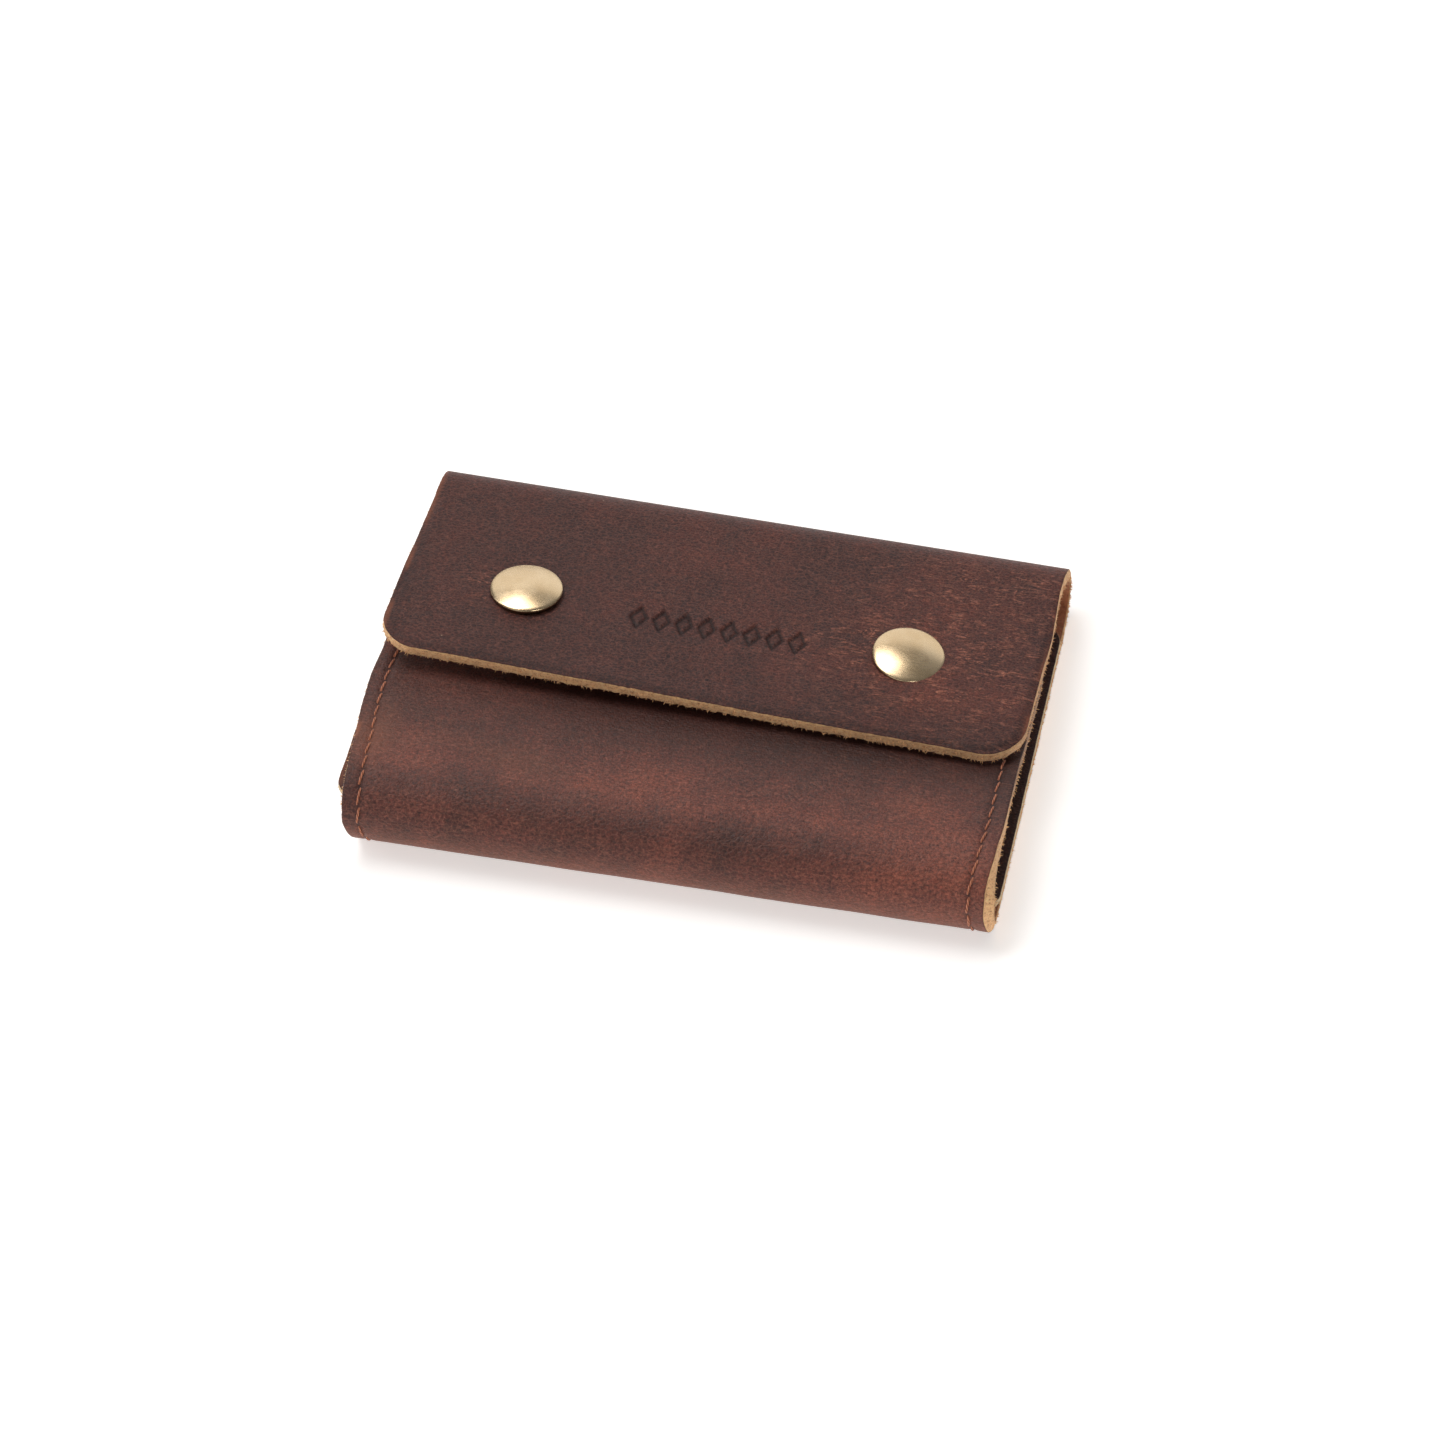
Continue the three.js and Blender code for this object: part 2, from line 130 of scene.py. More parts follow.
def ramp(value, low, high):
    """0 below low, 1 above high, smooth between."""
    t = np.clip((value - low) / (high - low), 0, 1)
    return t * t * (3 - 2 * t)


# ------------ leather sheets


class Line:
    """A curve in the YZ plane, in millimetres, by arc length, with the side that faces out."""

    def __init__(self, points, outward):
        self.points = np.array(points, float)
        steps = np.hypot(*np.diff(self.points, axis=0).T)
        self.at = np.concatenate([[0], np.cumsum(steps)])
        self.long = self.at[-1]
        self.outward = outward

    def place(self, s):
        """The y and z at an arc length."""
        return np.interp(s, self.at, self.points[:, 0]), np.interp(s, self.at, self.points[:, 1])

    def normal(self, s):
        """The y and z of the direction out of the line at an arc length."""
        step = 0.05
        low, high = np.clip(s - step, 0, self.long), np.clip(s + step, 0, self.long)
        (y0, z0), (y1, z1) = self.place(low), self.place(high)
        ty, tz = y1 - y0, z1 - z0
        size = np.hypot(ty, tz)
        return self.outward * tz / size, -self.outward * ty / size

    def ease(self, middle, reach, width):
        """Rounds the line off around one arc length, so that its bend comes on gradually."""
        step = 0.25
        even = np.arange(0, self.long, step)
        y, z = self.place(even)
        kernel = np.linspace(-1, 1, 21)
        weight = bump(kernel, 1.0)
        weight /= weight.sum()
        spread = width * bump(even - middle, reach)
        at = np.clip(even[:, None] + spread[:, None] * kernel[None, :], 0, self.long)
        soft_y = (np.interp(at, even, y) * weight).sum(1)
        soft_z = (np.interp(at, even, z) * weight).sum(1)
        self.__init__(np.vstack([np.stack([soft_y, soft_z], 1), self.points[-1]]), self.outward)
        return self

    def s_at_y(self, y, after):
        """The arc length, past a given one, at which the line reaches y."""
        keep = self.at >= after
        ys, at = self.points[keep, 0], self.at[keep]
        order = np.argsort(ys)
        return float(np.interp(y, ys[order], at[order]))


def arc(centre_y, centre_z, radius, start, end, count=60):
    """Points round a circle between two angles, in degrees."""
    angles = np.radians(np.linspace(start, end, count))
    return [(centre_y + radius * math.cos(a), centre_z + radius * math.sin(a)) for a in angles]


def spline(points, count=12):
    """A smooth curve through the points."""
    p = np.array(points, float)
    p = np.vstack([2 * p[0] - p[1], p, 2 * p[-1] - p[-2]])
    out = []
    for a, b, c, d in zip(p[:-3], p[1:-2], p[2:-1], p[3:]):
        for t in np.linspace(0, 1, count, endpoint=False):
            squared, cubed = 2 * a - 5 * b + 4 * c - d, 3 * b - a - 3 * c + d
            out.append(0.5 * (2 * b + (c - a) * t + squared * t**2 + cubed * t**3))
    return [tuple(q) for q in out] + [tuple(p[-2])]


MIDDLE = LEATHER / 2
FLAP_LONG = (FLAP_START[0] - FLAP_TIP_Y) / math.cos(SLOPE)
SNAP_ALONG = (FLAP_START[0] - SNAP_Y) / math.cos(SLOPE)
BACK_FOLD_S = (BACK_Y, BACK_Y + (BACK_R - MIDDLE) * (math.pi - SLOPE))
FRONT_FOLD_S = (-FRONT_Y, -FRONT_Y + (FRONT_R - MIDDLE) * math.pi)
FLAP_SNAP_S = BACK_FOLD_S[1] + SNAP_ALONG
BACK_LINE = Line(
    [(0, MIDDLE)]
    + arc(BACK_Y, BACK_R, BACK_R - MIDDLE, -90, 90 - math.degrees(SLOPE))
    + [flap_point(a, MIDDLE) for a in np.linspace(0.2, FLAP_LONG, 40)],
    1,
).ease(BACK_FOLD_S[1], 15, 7.0)
PANEL_END = [flap_point((FLAP_START[0] - y) / math.cos(SLOPE), PANEL_DROP + MIDDLE) for y in (3, 9, 15)]
FRONT_LINE = Line(
    [(0, MIDDLE)]
    + arc(FRONT_Y, FRONT_R, FRONT_R - MIDDLE, -90, -270)
    + spline([(FRONT_Y + 0.3, 2 * FRONT_R - MIDDLE)] + PANEL_LINE + PANEL_END)[1:],
    -1,
).ease(FRONT_FOLD_S[1], 16, 8.0)
SNAP_PANEL_S = FRONT_LINE.s_at_y(flap_point(SNAP_ALONG, PANEL_DROP + MIDDLE)[0], 60)


def spaced(marks):
    """Grid positions from (end, step) pairs, starting at the first pair's end."""
    out = [marks[0][0]]
    for (start, _), (end, step) in zip(marks, marks[1:]):
        count = max(1, int(round((end - start) / step)))
        out += list(np.linspace(start, end, count + 1)[1:])
    return np.array(out)


def new_object(name, vertices, faces, materials):
    """A smooth-shaded mesh object, from points in metres."""
    mesh = bpy.data.meshes.new(name)
    mesh.from_pydata([tuple(v) for v in vertices], [], faces)
    for m in materials:
        mesh.materials.append(m)
    mesh.update()
    mesh.polygons.foreach_set("use_smooth", np.ones(len(mesh.polygons), bool))
    obj = bpy.data.objects.new(name, mesh)
    bpy.context.scene.collection.objects.link(obj)
    return obj


def face_out(obj):
    """Turns every face of each closed body of a mesh outwards."""
    bm = bmesh.new()
    bm.from_mesh(obj.data)
    bmesh.ops.recalc_face_normals(bm, faces=bm.faces)
    bm.to_mesh(obj.data)
    bm.free()


# the rings of points round a cut edge, from the outer face down: the share of the thickness, and
# how far out they stand as a share of EDGE_ROUND
WALL = [(0.04, 0.62), (0.16, 1.0), (0.38, 1.08), (0.6, 1.0), (0.8, 1.1), (0.94, 0.72)]
CRUMB, NIB = 0.55, 0.23  # the sizes of a cut edge's unevenness
WALL_UV_STEP = 0.4
STAINED_RINGS = 4  # of a left end's edge, which is stained like the grain
FACING_LEFT = -0.94


def drawn_in(left, right, rows, tip_corner):
    """Rounds the corners of a sheet's far tip, and of its near one too if asked to."""
    radius, near_tip = tip_corner
    for gap in ((rows - rows[0], rows[-1] - rows) if near_tip else (rows[-1] - rows,)):
        short = np.clip(radius - EDGE_ROUND - gap, 0, None)
        inset = radius - np.sqrt(np.clip(radius**2 - short**2, 0, None))
        left, right = left + inset, right - inset
    return left, right


def face_grid(outer, line, rows, columns, sides, warp, relief, thickness, tip_corner):
    """One face of a sheet as a grid of points, with the x and s that they have when it lies flat."""
    left, right = sides(rows, outer)
    left, right = left + EDGE_ROUND, right - EDGE_ROUND
    if tip_corner:
        left, right = drawn_in(left, right, rows, tip_corner)
    share = (columns[None, :] + HALF_WIDTH) / (2 * HALF_WIDTH)
    x = left[:, None] + (right - left)[:, None] * share
    s = np.broadcast_to(rows[:, None], x.shape)
    y, z = line.place(s)
    ny, nz = line.normal(s)
    off = (thickness / 2 if outer else -thickness / 2) + relief(x, s, outer)
    return np.stack(warp(x, y + ny * off, z + nz * off, s), -1), x, s


def edge_outwards(top, low, centre):
    """The direction out of a sheet at each point of its edge."""
    tangent = np.roll(top, -1, 0) - np.roll(top, 1, 0)
    out = np.cross(tangent, top - low)
    out /= np.linalg.norm(out, axis=1)[:, None]
    if np.mean(np.einsum("ij,ij->i", out, top - centre)) < 0:
        out = -out
    return out


def edge_rings(top, low, out, ragged, seed):
    """The rings of points that make a cut edge rounded and uneven."""
    rings = []
    place = top[:, 0] * 1.3 + top[:, 2] * 0.7
    for k, (down, reach) in enumerate(WALL):
        crumbs = noise(place, top[:, 1] * 1.1 + k * 0.6, CRUMB, seed + 7)
        crumbs = crumbs + 0.7 * noise(place, top[:, 1] + k, NIB, seed + 9)
        rough = crumbs * ragged * (0.35 + down) * (1 - 0.6 * np.abs(out[:, 0]))
        rings.append(top + (low - top) * down + out * (EDGE_ROUND * reach + rough)[:, None])
    return rings


def set_mesh_data(obj, kinds, uv, values):
    """Gives a mesh its faces' materials, its flat map and its named point attributes."""
    obj.data.polygons.foreach_set("material_index", kinds.astype(np.int32))
    layer = obj.data.uv_layers.new(name="flat_mm")
    order = np.empty(len(obj.data.loops), np.int32)
    obj.data.loops.foreach_get("vertex_index", order)
    layer.data.foreach_set("uv", (uv[order] / UV_MM).ravel().astype(np.float32))
    for key, v in values.items():
        obj.data.attributes.new(key, "FLOAT", "POINT").data.foreach_set("value", v.astype(np.float32))


def leather_sheet(name, line, rows, columns, sides, warp, relief, thickness, materials, *, seed,
                  ragged=0.17, joined_start=False, tip_corner=None, fibres=0, tones=None):
    """A closed sheet of leather that follows a line, with rounded raw edges.

    sides(s, outer) gives the left and right x of a face, warp moves finished points, relief sinks or
    raises a face, and tones gives named point attributes from x and s. materials are for the outer
    face, the cut edge and the inner face. All in millimetres."""
    n, m = len(rows), len(columns)
    shape = (line, rows, columns, sides, warp, relief, thickness, tip_corner)
    outer_grid, flat_x, flat_s = face_grid(True, *shape)
    inner_grid = face_grid(False, *shape)[0]
    loop = (
        [(0, j) for j in range(m)]
        + [(i, m - 1) for i in range(1, n)]
        + [(n - 1, j) for j in range(m - 2, -1, -1)]
        + [(i, 0) for i in range(n - 2, 0, -1)]
    )
    li, lj = np.array(loop).T
    top, low = outer_grid[li, lj], inner_grid[li, lj]
    out = edge_outwards(top, low, outer_grid[n // 2, m // 2])
    if joined_start:
        first = li == 0
        out[first] = 0
        out[first & (lj == 0)] = (-1, 0, 0)
        out[first & (lj == m - 1)] = (1, 0, 0)
    wall = edge_rings(top, low, out, ragged, seed)
    points = np.concatenate([outer_grid.reshape(-1, 3), inner_grid.reshape(-1, 3)] + wall) * MM

    index = np.arange(n * m).reshape(n, m)
    a, b, c, d = (v.ravel() for v in (index[:-1, :-1], index[:-1, 1:], index[1:, 1:], index[1:, :-1]))
    faces = [np.stack([a, b, c, d], 1), np.stack([a, d, c, b], 1) + n * m]
    rings = [index[li, lj]] + [2 * n * m + k * len(loop) + np.arange(len(loop)) for k in range(len(WALL))]
    rings.append(index[li, lj] + n * m)
    for upper, lower in zip(rings[:-1], rings[1:]):
        faces.append(np.stack([upper, np.roll(upper, -1), np.roll(lower, -1), lower], 1))
    stained = out[:, 0] < FACING_LEFT
    edge_kinds = [np.where(stained & (k < STAINED_RINGS), 0, int(k > 0)) for k in range(len(rings) - 1)]
    kinds = np.concatenate([np.zeros(len(faces[0]), int), np.full(len(faces[1]), 2)] + edge_kinds)
    faces = [tuple(f) for f in np.concatenate(faces).tolist()]

    along = np.concatenate([[0], np.cumsum(np.linalg.norm(np.diff(top, axis=0), axis=1))])
    uv = np.concatenate(
        [np.stack([flat_x.ravel(), flat_s.ravel()], 1)] * 2
        + [np.stack([along, np.full(len(loop), (k + 1) * WALL_UV_STEP)], 1) for k in range(len(WALL))]
    )
    values = {}
    for key, tone in (tones or {}).items():
        values[key] = np.zeros(len(points))
        values[key][: n * m] = tone(flat_x, flat_s).ravel()
        for ring in rings[1:-1]:
            values[key][ring] = values[key][rings[0]]

    if fibres:
        spikes, spike_faces = fibre_spikes(top * MM, low * MM, out, fibres, seed, len(points))
        points = np.concatenate([points, spikes])
        uv = np.concatenate([uv, np.repeat(uv[:1], len(spikes), 0)])
        values = {key: np.concatenate([v, np.zeros(len(spikes))]) for key, v in values.items()}
        faces += spike_faces
        kinds = np.concatenate([kinds, np.ones(len(spike_faces), int)])
    obj = new_object(name, points, faces, materials)
    set_mesh_data(obj, kinds, uv, values)
    face_out(obj)
    return obj


def fibre_spikes(top, low, out, count, seed, first):
    """Loose fibres that stand out of a raw edge, as thin closed three-sided spikes."""
    rng = np.random.default_rng(seed)
    spikes, faces = [], []
    steps = np.linalg.norm(np.roll(top, -1, 0) - top, axis=1) * (np.linalg.norm(out, axis=1) > 0)
    picks = rng.choice(len(top), count, p=steps / steps.sum())
    for i in picks:
        j = (i + 1) % len(top)
        if np.linalg.norm(out[i]) < 0.5 or np.linalg.norm(out[j]) < 0.5:
            continue
        t, h = rng.random(), 1 - 0.75 * rng.random() ** 1.7
        base = (top[i] * (1 - t) + top[j] * t) * (1 - h) + (low[i] * (1 - t) + low[j] * t) * h
        base = base + out[i] * EDGE_ROUND * MM * 0.8
        away = out[i] + (low[i] - top[i]) / (LEATHER * MM) * rng.uniform(-0.1, 1.1)
        side = (top[j] - top[i]) / np.linalg.norm(top[j] - top[i])
        away = away + side * rng.normal(0, 0.7)
        away = away / np.linalg.norm(away)
        long, wide = rng.uniform(0.2, 0.62) * MM, rng.uniform(0.045, 0.13) * MM
        other = np.cross(away, side)
        other = other / np.linalg.norm(other)
        third = np.cross(away, other)
        k = first + len(spikes)
        for angle in (0, 2.1, 4.2):
            spikes.append(base + wide * (other * math.cos(angle) + third * math.sin(angle)))
        spikes.append(base + away * long)
        faces += [(k, k + 1, k + 3), (k + 1, k + 2, k + 3), (k + 2, k, k + 3), (k + 2, k + 1, k)]
    return np.array(spikes), faces


# ------------ materials


class Look:
    """A procedural material under construction."""

    def __init__(self, name, **sockets):
        self.material = bpy.data.materials.new(name)
        self.material.use_nodes = True
        self.nodes = self.material.node_tree.nodes
        self.links = self.material.node_tree.links
        self.shader = self.nodes["Principled BSDF"]
        for key, value in sockets.items():
            self.shader.inputs[key.replace("_", " ")].default_value = value

    def node(self, kind, inputs=None, **props):
        """A new node, with its inputs fed by name."""
        made = self.nodes.new(kind)
        for key, value in props.items():
            setattr(made, key, value)
        for key, value in (inputs or {}).items():
            self.feed(made.inputs[key], value)
        return made

    def feed(self, socket, value):
        """Links a socket to another node's output, or sets its constant."""
        if isinstance(value, bpy.types.NodeSocket):
            self.links.new(value, socket)
        else:
            socket.default_value = value

    def flat(self, stretch=(1, 1, 1)):
        """Millimetres over the flat leather, which stay put when it bends."""
        uv = self.node("ShaderNodeUVMap", uv_map="flat_mm").outputs["UV"]
        scale = tuple(UV_MM * v for v in stretch)
        return self.node("ShaderNodeMapping", {"Vector": uv, "Scale": scale}).outputs["Vector"]

    def solid(self, stretch=(1, 1, 1)):
        """Millimetres in the object's own space."""
        co = self.node("ShaderNodeTexCoord").outputs["Object"]
        scale = tuple(v / MM for v in stretch)
        return self.node("ShaderNodeMapping", {"Vector": co, "Scale": scale}).outputs["Vector"]

    def noise(self, vector, scale, detail=3.0, rough=0.55, distort=0.0):
        inputs = {"Vector": vector, "Scale": scale, "Detail": detail}
        inputs |= {"Roughness": rough, "Distortion": distort}
        return self.node("ShaderNodeTexNoise", inputs).outputs["Fac"]

    def cell_edges(self, vector, scale):
        """How far a point is from the nearest border between cells."""
        inputs = {"Vector": vector, "Scale": scale}
        return self.node("ShaderNodeTexVoronoi", inputs, feature="DISTANCE_TO_EDGE").outputs["Distance"]

    def attribute(self, name):
        return self.node("ShaderNodeAttribute", attribute_name=name).outputs["Fac"]

    def math(self, operation, a, b=0.0, c=0.0):
        made = self.node("ShaderNodeMath", operation=operation)
        for socket, value in zip(made.inputs, (a, b, c)):
            self.feed(socket, value)
        return made.outputs[0]

    def weighed(self, a, b, share):
        """The mean of two values, with the first one's share."""
        return self.math("ADD", self.math("MULTIPLY", a, share), self.math("MULTIPLY", b, 1 - share))

    def ramp(self, value, *stops):
        """Colours or greys at places from 0 to 1 along a value."""
        made = self.node("ShaderNodeValToRGB", {"Fac": value})
        elements = made.color_ramp.elements
        while len(elements) < len(stops):
            elements.new(0.5)
        for element, (at, colour) in zip(elements, stops):
            element.position = at
            element.color = (*(colour if isinstance(colour, tuple) else (colour,) * 3), 1)
        return made.outputs["Color"]

    def mix(self, share, a, b, blend="MIX"):
        """Colour a with a share of colour b."""
        made = self.node("ShaderNodeMix", data_type="RGBA", blend_type=blend, clamp_factor=True)
        self.feed(made.inputs[0], share)
        for socket, value in ((made.inputs[6], a), (made.inputs[7], b)):
            self.feed(socket, (*value, 1) if isinstance(value, tuple) and len(value) == 3 else value)
        return made.outputs[2]

    def raised(self, height, distance_mm, strength, under=None):
        """A bump of so many millimetres, on top of another one."""
        inputs = {"Height": height, "Distance": distance_mm * MM, "Strength": strength}
        if under is not None:
            inputs["Normal"] = under
        return self.node("ShaderNodeBump", inputs).outputs["Normal"]

    def finish(self, colour, roughness, normal):
        for key, value in (("Base Color", colour), ("Roughness", roughness), ("Normal", normal)):
            self.feed(self.shader.inputs[key], value)
        return self.material


def srgb(r, g, b):
    """Display values from 0 to 255 as a linear colour."""
    def one(v):
        v /= 255
        return v / 12.92 if v <= 0.04045 else ((v + 0.055) / 1.055) ** 2.4
    return one(r), one(g), one(b)


def times(colour, share):
    return tuple(v * share for v in colour)


SPECK, WORN = srgb(196, 158, 128), srgb(158, 94, 66)


def grain_leather(name, dark, mid, light, wax, gloss):
    """Waxed pull-up leather: dark and reddish clouds, pores, fine creases that show paler, pale specks.

    The point attributes red, crease, shade and rub say where it is redder, wrinkled, dark and worn. Most of
    shade's dark is painted shade; the stamp is darker too, and the flap's front edge is burnished."""
    look = Look(name, Specular_IOR_Level=gloss)
    flat = look.flat()
    clouds = look.noise(flat, 0.035, 4.0, 0.6, 0.4)
    patches = look.noise(flat, 0.16, 5.0, 0.65, 0.6)
    mottle = look.noise(flat, 0.9, 4.0, 0.6)
    fine = look.noise(flat, 3.2, 3.0, 0.6)
    cloud = look.math("SUBTRACT", look.weighed(clouds, patches, 0.55), 0.08)
    cloud = look.math("MULTIPLY_ADD", mottle, 0.16, cloud)
    redder = look.math("MULTIPLY_ADD", look.attribute("red"), 0.35, -0.175)
    cloud = look.math("MULTIPLY_ADD", cloud, 1.18, redder)
    colour = look.ramp(cloud, (0.3, dark), (0.5, mid), (0.74, light))
    bend = look.noise(flat, 0.3, 3.0)
    wrinkles = look.noise(look.flat((0.3, 1.5, 1)), 0.6, 2.0, 0.5, 0.9)
    thread = look.math("PINGPONG", look.math("MULTIPLY", wrinkles, 5.0), 0.5)
    thread = look.ramp(thread, (0.0, 1.0), (0.2, 0.0))
    creased = look.math("MULTIPLY", look.attribute("crease"), look.ramp(bend, (0.38, 0.0), (0.56, 1.0)))
    pale = look.math("MULTIPLY", thread, creased)
    colour = look.mix(look.math("MULTIPLY", pale, 0.85), colour, wax)
    pore = look.ramp(look.cell_edges(look.flat((1, 1.25, 1)), 1.25), (0.0, 0.0), (0.16, 1.0))
    colour = look.mix(look.math("MULTIPLY", look.math("SUBTRACT", 1.0, pore), 0.17), colour, wax)
    pebble = look.noise(look.flat((0.85, 1.2, 1)), 1.7, 3.0, 0.7, 0.3)
    grit = look.math("MULTIPLY_ADD", look.math("SUBTRACT", pebble, 0.5), 3.3, 1.0)
    colour = look.mix(1.0, colour, grit, "MULTIPLY")
    colour = look.mix(look.ramp(fine, (0.36, 0.5), (0.5, 0.0)), colour, times(dark, 0.6))
    speck_cell = look.node("ShaderNodeTexVoronoi", {"Vector": flat, "Scale": 0.16})
    chance = look.node("ShaderNodeSeparateColor", {"Color": speck_cell.outputs["Color"]}).outputs[0]
    speck = look.math("LESS_THAN", speck_cell.outputs["Distance"], 0.028)
    speck = look.math("MULTIPLY", speck, look.math("GREATER_THAN", chance, 0.72))
    colour = look.mix(look.math("MULTIPLY", speck, 0.6), colour, SPECK)
    # painted shade from the shade attribute, with the stamp and the flap's burnished front edge
    colour = look.mix(look.attribute("shade"), colour, times(dark, 0.32))
    colour = look.mix(look.attribute("rub"), colour, WORN)
    rough = look.ramp(look.weighed(mottle, patches, 0.6), (0.3, 0.44), (0.7, 0.6))
    normal = look.raised(pore, 0.06, 0.7)
    normal = look.raised(pebble, 0.14, 0.9, normal)
    normal = look.raised(mottle, 0.09, 0.4, normal)
    normal = look.raised(pale, 0.09, 0.8, normal)
    return look.finish(colour, rough, normal)


def raw_edge(name, light, dark):
    """The cut edge of the leather: pale tan fibres with darker crumbs."""
    look = Look(name, Specular_IOR_Level=0.15, Sheen_Weight=0.25, Sheen_Roughness=0.6)
    flat = look.flat()
    fibres = look.noise(look.flat((1.0, 1.5, 1)), 1.5, 4.0, 0.75, 0.5)
    crumbs = look.noise(flat, 4.0, 3.0, 0.7)
    pale = tuple(min(1, v) for v in times(light, 1.3))
    colour = look.ramp(look.weighed(fibres, crumbs, 0.6), (0.36, dark), (0.5, light), (0.66, pale))
    # painted shade from the sheet's shade attribute, and burnish along the flap's front edge
    colour = look.mix(look.attribute("shade"), colour, times(dark, 0.5))
    normal = look.raised(crumbs, 0.16, 0.9)
    normal = look.raised(fibres, 0.3, 0.9, normal)
    return look.finish(colour, 0.92, normal)


def suede(name, light, dark):
    """The flesh side: short soft nap."""
    look = Look(name, Specular_IOR_Level=0.12, Sheen_Weight=0.35, Sheen_Roughness=0.55)
    flat = look.flat()
    nap = look.noise(flat, 1.2, 5.0, 0.75, 0.8)
    cloud = look.noise(flat, 0.14, 3.0)
    colour = look.ramp(look.weighed(nap, cloud, 0.55), (0.32, dark), (0.66, light))
    return look.finish(colour, 0.95, look.raised(nap, 0.3, 0.9))


def satin_metal(name, colour, dark, rough, scratches=0.5, rim_shade=0.0, haze_size=0.3):
    """Plated metal with a fine satin, a haze of darker plating and, as strong as asked, painted shade on its
    low rim.
    """
    look = Look(name, Metallic=1.0)
    place = look.solid()
    haze = look.noise(place, haze_size, 4.0, 0.6)
    lines = look.noise(look.solid((0.35, 3.0, 3.0)), 1.6, 3.0, 0.6)
    shown = look.ramp(haze, (0.3, dark), (0.62, colour))
    # painted shade on the low rim, by the rim attribute
    shown = look.mix(look.math("MULTIPLY", look.attribute("rim"), rim_shade), shown, times(dark, 0.22))
    roughness = look.ramp(look.weighed(lines, haze, 0.5), (0.32, rough * 0.82), (0.68, rough * 1.2))
    return look.finish(shown, roughness, look.raised(lines, 0.006, scratches))


def waxed_thread(name, light, dark):
    """Twisted thread, its strands as slanting bands."""
    look = Look(name, Specular_IOR_Level=0.3, Sheen_Weight=0.2)
    flat = look.flat()
    inputs = {"Vector": flat, "Scale": 0.9, "Distortion": 0.4}
    bands = look.node("ShaderNodeTexWave", inputs, wave_type="BANDS", bands_direction="DIAGONAL")
    twist = bands.outputs["Fac"]
    fuzz = look.noise(flat, 5.0, 3.0)
    colour = look.ramp(look.weighed(twist, fuzz, 0.6), (0.2, dark), (0.7, light))
    return look.finish(colour, 0.7, look.raised(twist, 0.12, 0.8))


BACK_GRAIN = grain_leather(
    "flap_grain", srgb(62, 34, 31), srgb(83, 43, 37), srgb(110, 55, 43), wax=srgb(172, 108, 86), gloss=0.27
)
FRONT_GRAIN = grain_leather(
    "panel_grain", srgb(72, 37, 31), srgb(99, 51, 42), srgb(132, 70, 54), wax=srgb(170, 110, 86), gloss=0.4
)
INNER_GRAIN = grain_leather(
    "inner_grain", srgb(50, 28, 25), srgb(64, 37, 32), srgb(80, 47, 39), wax=srgb(104, 70, 58), gloss=0.3
)
TAN_EDGE = raw_edge("raw_edge", srgb(255, 198, 140), srgb(166, 100, 60))
INNER_EDGE = raw_edge("inner_raw_edge", srgb(246, 212, 164), srgb(178, 130, 88))
FLESH = suede("flesh_side", srgb(216, 142, 100), srgb(136, 80, 52))
LINER_FACE = suede("liner_suede", srgb(150, 98, 66), srgb(104, 64, 42))
BRASS = satin_metal(
    "antique_brass", srgb(236, 210, 172), srgb(214, 184, 142), 0.27, scratches=0.07, rim_shade=0.9, haze_size=0.12
)
BRASS_HIDDEN = satin_metal("snap_brass", srgb(196, 170, 118), srgb(132, 106, 66), 0.32)
NICKEL = satin_metal("nickel_steel", srgb(204, 202, 198), srgb(150, 148, 145), 0.24)
SPRING_STEEL = satin_metal("spring_steel", srgb(190, 190, 190), srgb(128, 128, 130), 0.3)
THREAD = waxed_thread("rust_thread", srgb(204, 128, 94), srgb(136, 74, 50))

# ------------ the outer strip

FLAP_TURN = 0.025
STITCH_IN = 2.7
STITCH_PITCH = 3.0


def back_warp(x, y, z, s):
    """The flap is folded a little out of square, and its left half stands higher."""
    folded = ramp(s, BACK_FOLD_S[0], BACK_FOLD_S[1])
    forward = np.clip(BACK_Y - y, 0, None) * (s > BACK_FOLD_S[1])
    share = forward / (BACK_Y - FLAP_TIP_Y)
    back = folded * (1.2 - 0.005 * x) * (1 - share) + share * (0.05 - 0.03 * x)
    up = folded * (0.62 - 0.009 * x) * (1 - share) + share * (-0.2 - 0.0145 * x)
    wave = share * (0.19 * noise(x, s, 26.0, 31) + 0.12 * noise(x, s, 12.0, 32))
    return x - FLAP_TURN * forward, y + back, z + up + wave


def back_sides(s, outer):
    """Left and right x of the back half of the strip, which draws in at its fold."""
    top = BACK_FOLD_S[1]
    marks = [0, BACK_FOLD_S[0], sum(BACK_FOLD_S) / 2, top, top + 4, top + 15, BACK_LINE.long]
    fold = [54.7, 54.25, 54.15] if outer else [54.8, 54.35, 54.25]
    right = [54.95, 54.95, *fold, 55.0, 55.2]
    left = [-55.0, -55.0, -54.9, -55.2, -55.25, -55.35, -55.5]
    wander = 0.09 * noise(s, 0.0, 6.0, 41 + outer)
    return np.interp(s, marks, left) + wander, np.interp(s, marks, right) + wander


def near_snaps(x, s, snap_s, reach):
    """1 at either snap's centre, falling to 0 at the reach."""
    return bump(np.hypot(np.abs(x) - SNAP_X, s - snap_s), reach)


STAMP_HALF, STAMP_WIDE, STAMP_PITCH, STAMPS = 3.0, 1.75, 3.9, 8
STAMP_S = FLAP_SNAP_S + 0.3
STAMP_TURN = 0.02
CAPS_S = FLAP_SNAP_S - 0.9


def stamped(x, s):
    """A plain row of lozenges between the caps: 1 where one is pressed in, and 1 on its raised floor."""
    at = x + STAMP_PITCH * (STAMPS - 1) / 2
    number = np.clip(np.round(at / STAMP_PITCH), 0, STAMPS - 1)
    down = np.abs(s - STAMP_S + STAMP_TURN * x)
    inside = 1 - (np.abs(at - number * STAMP_PITCH) / STAMP_WIDE + down / STAMP_HALF)
    return ramp(inside, -0.06, 0.14), ramp(inside, 0.34, 0.5)


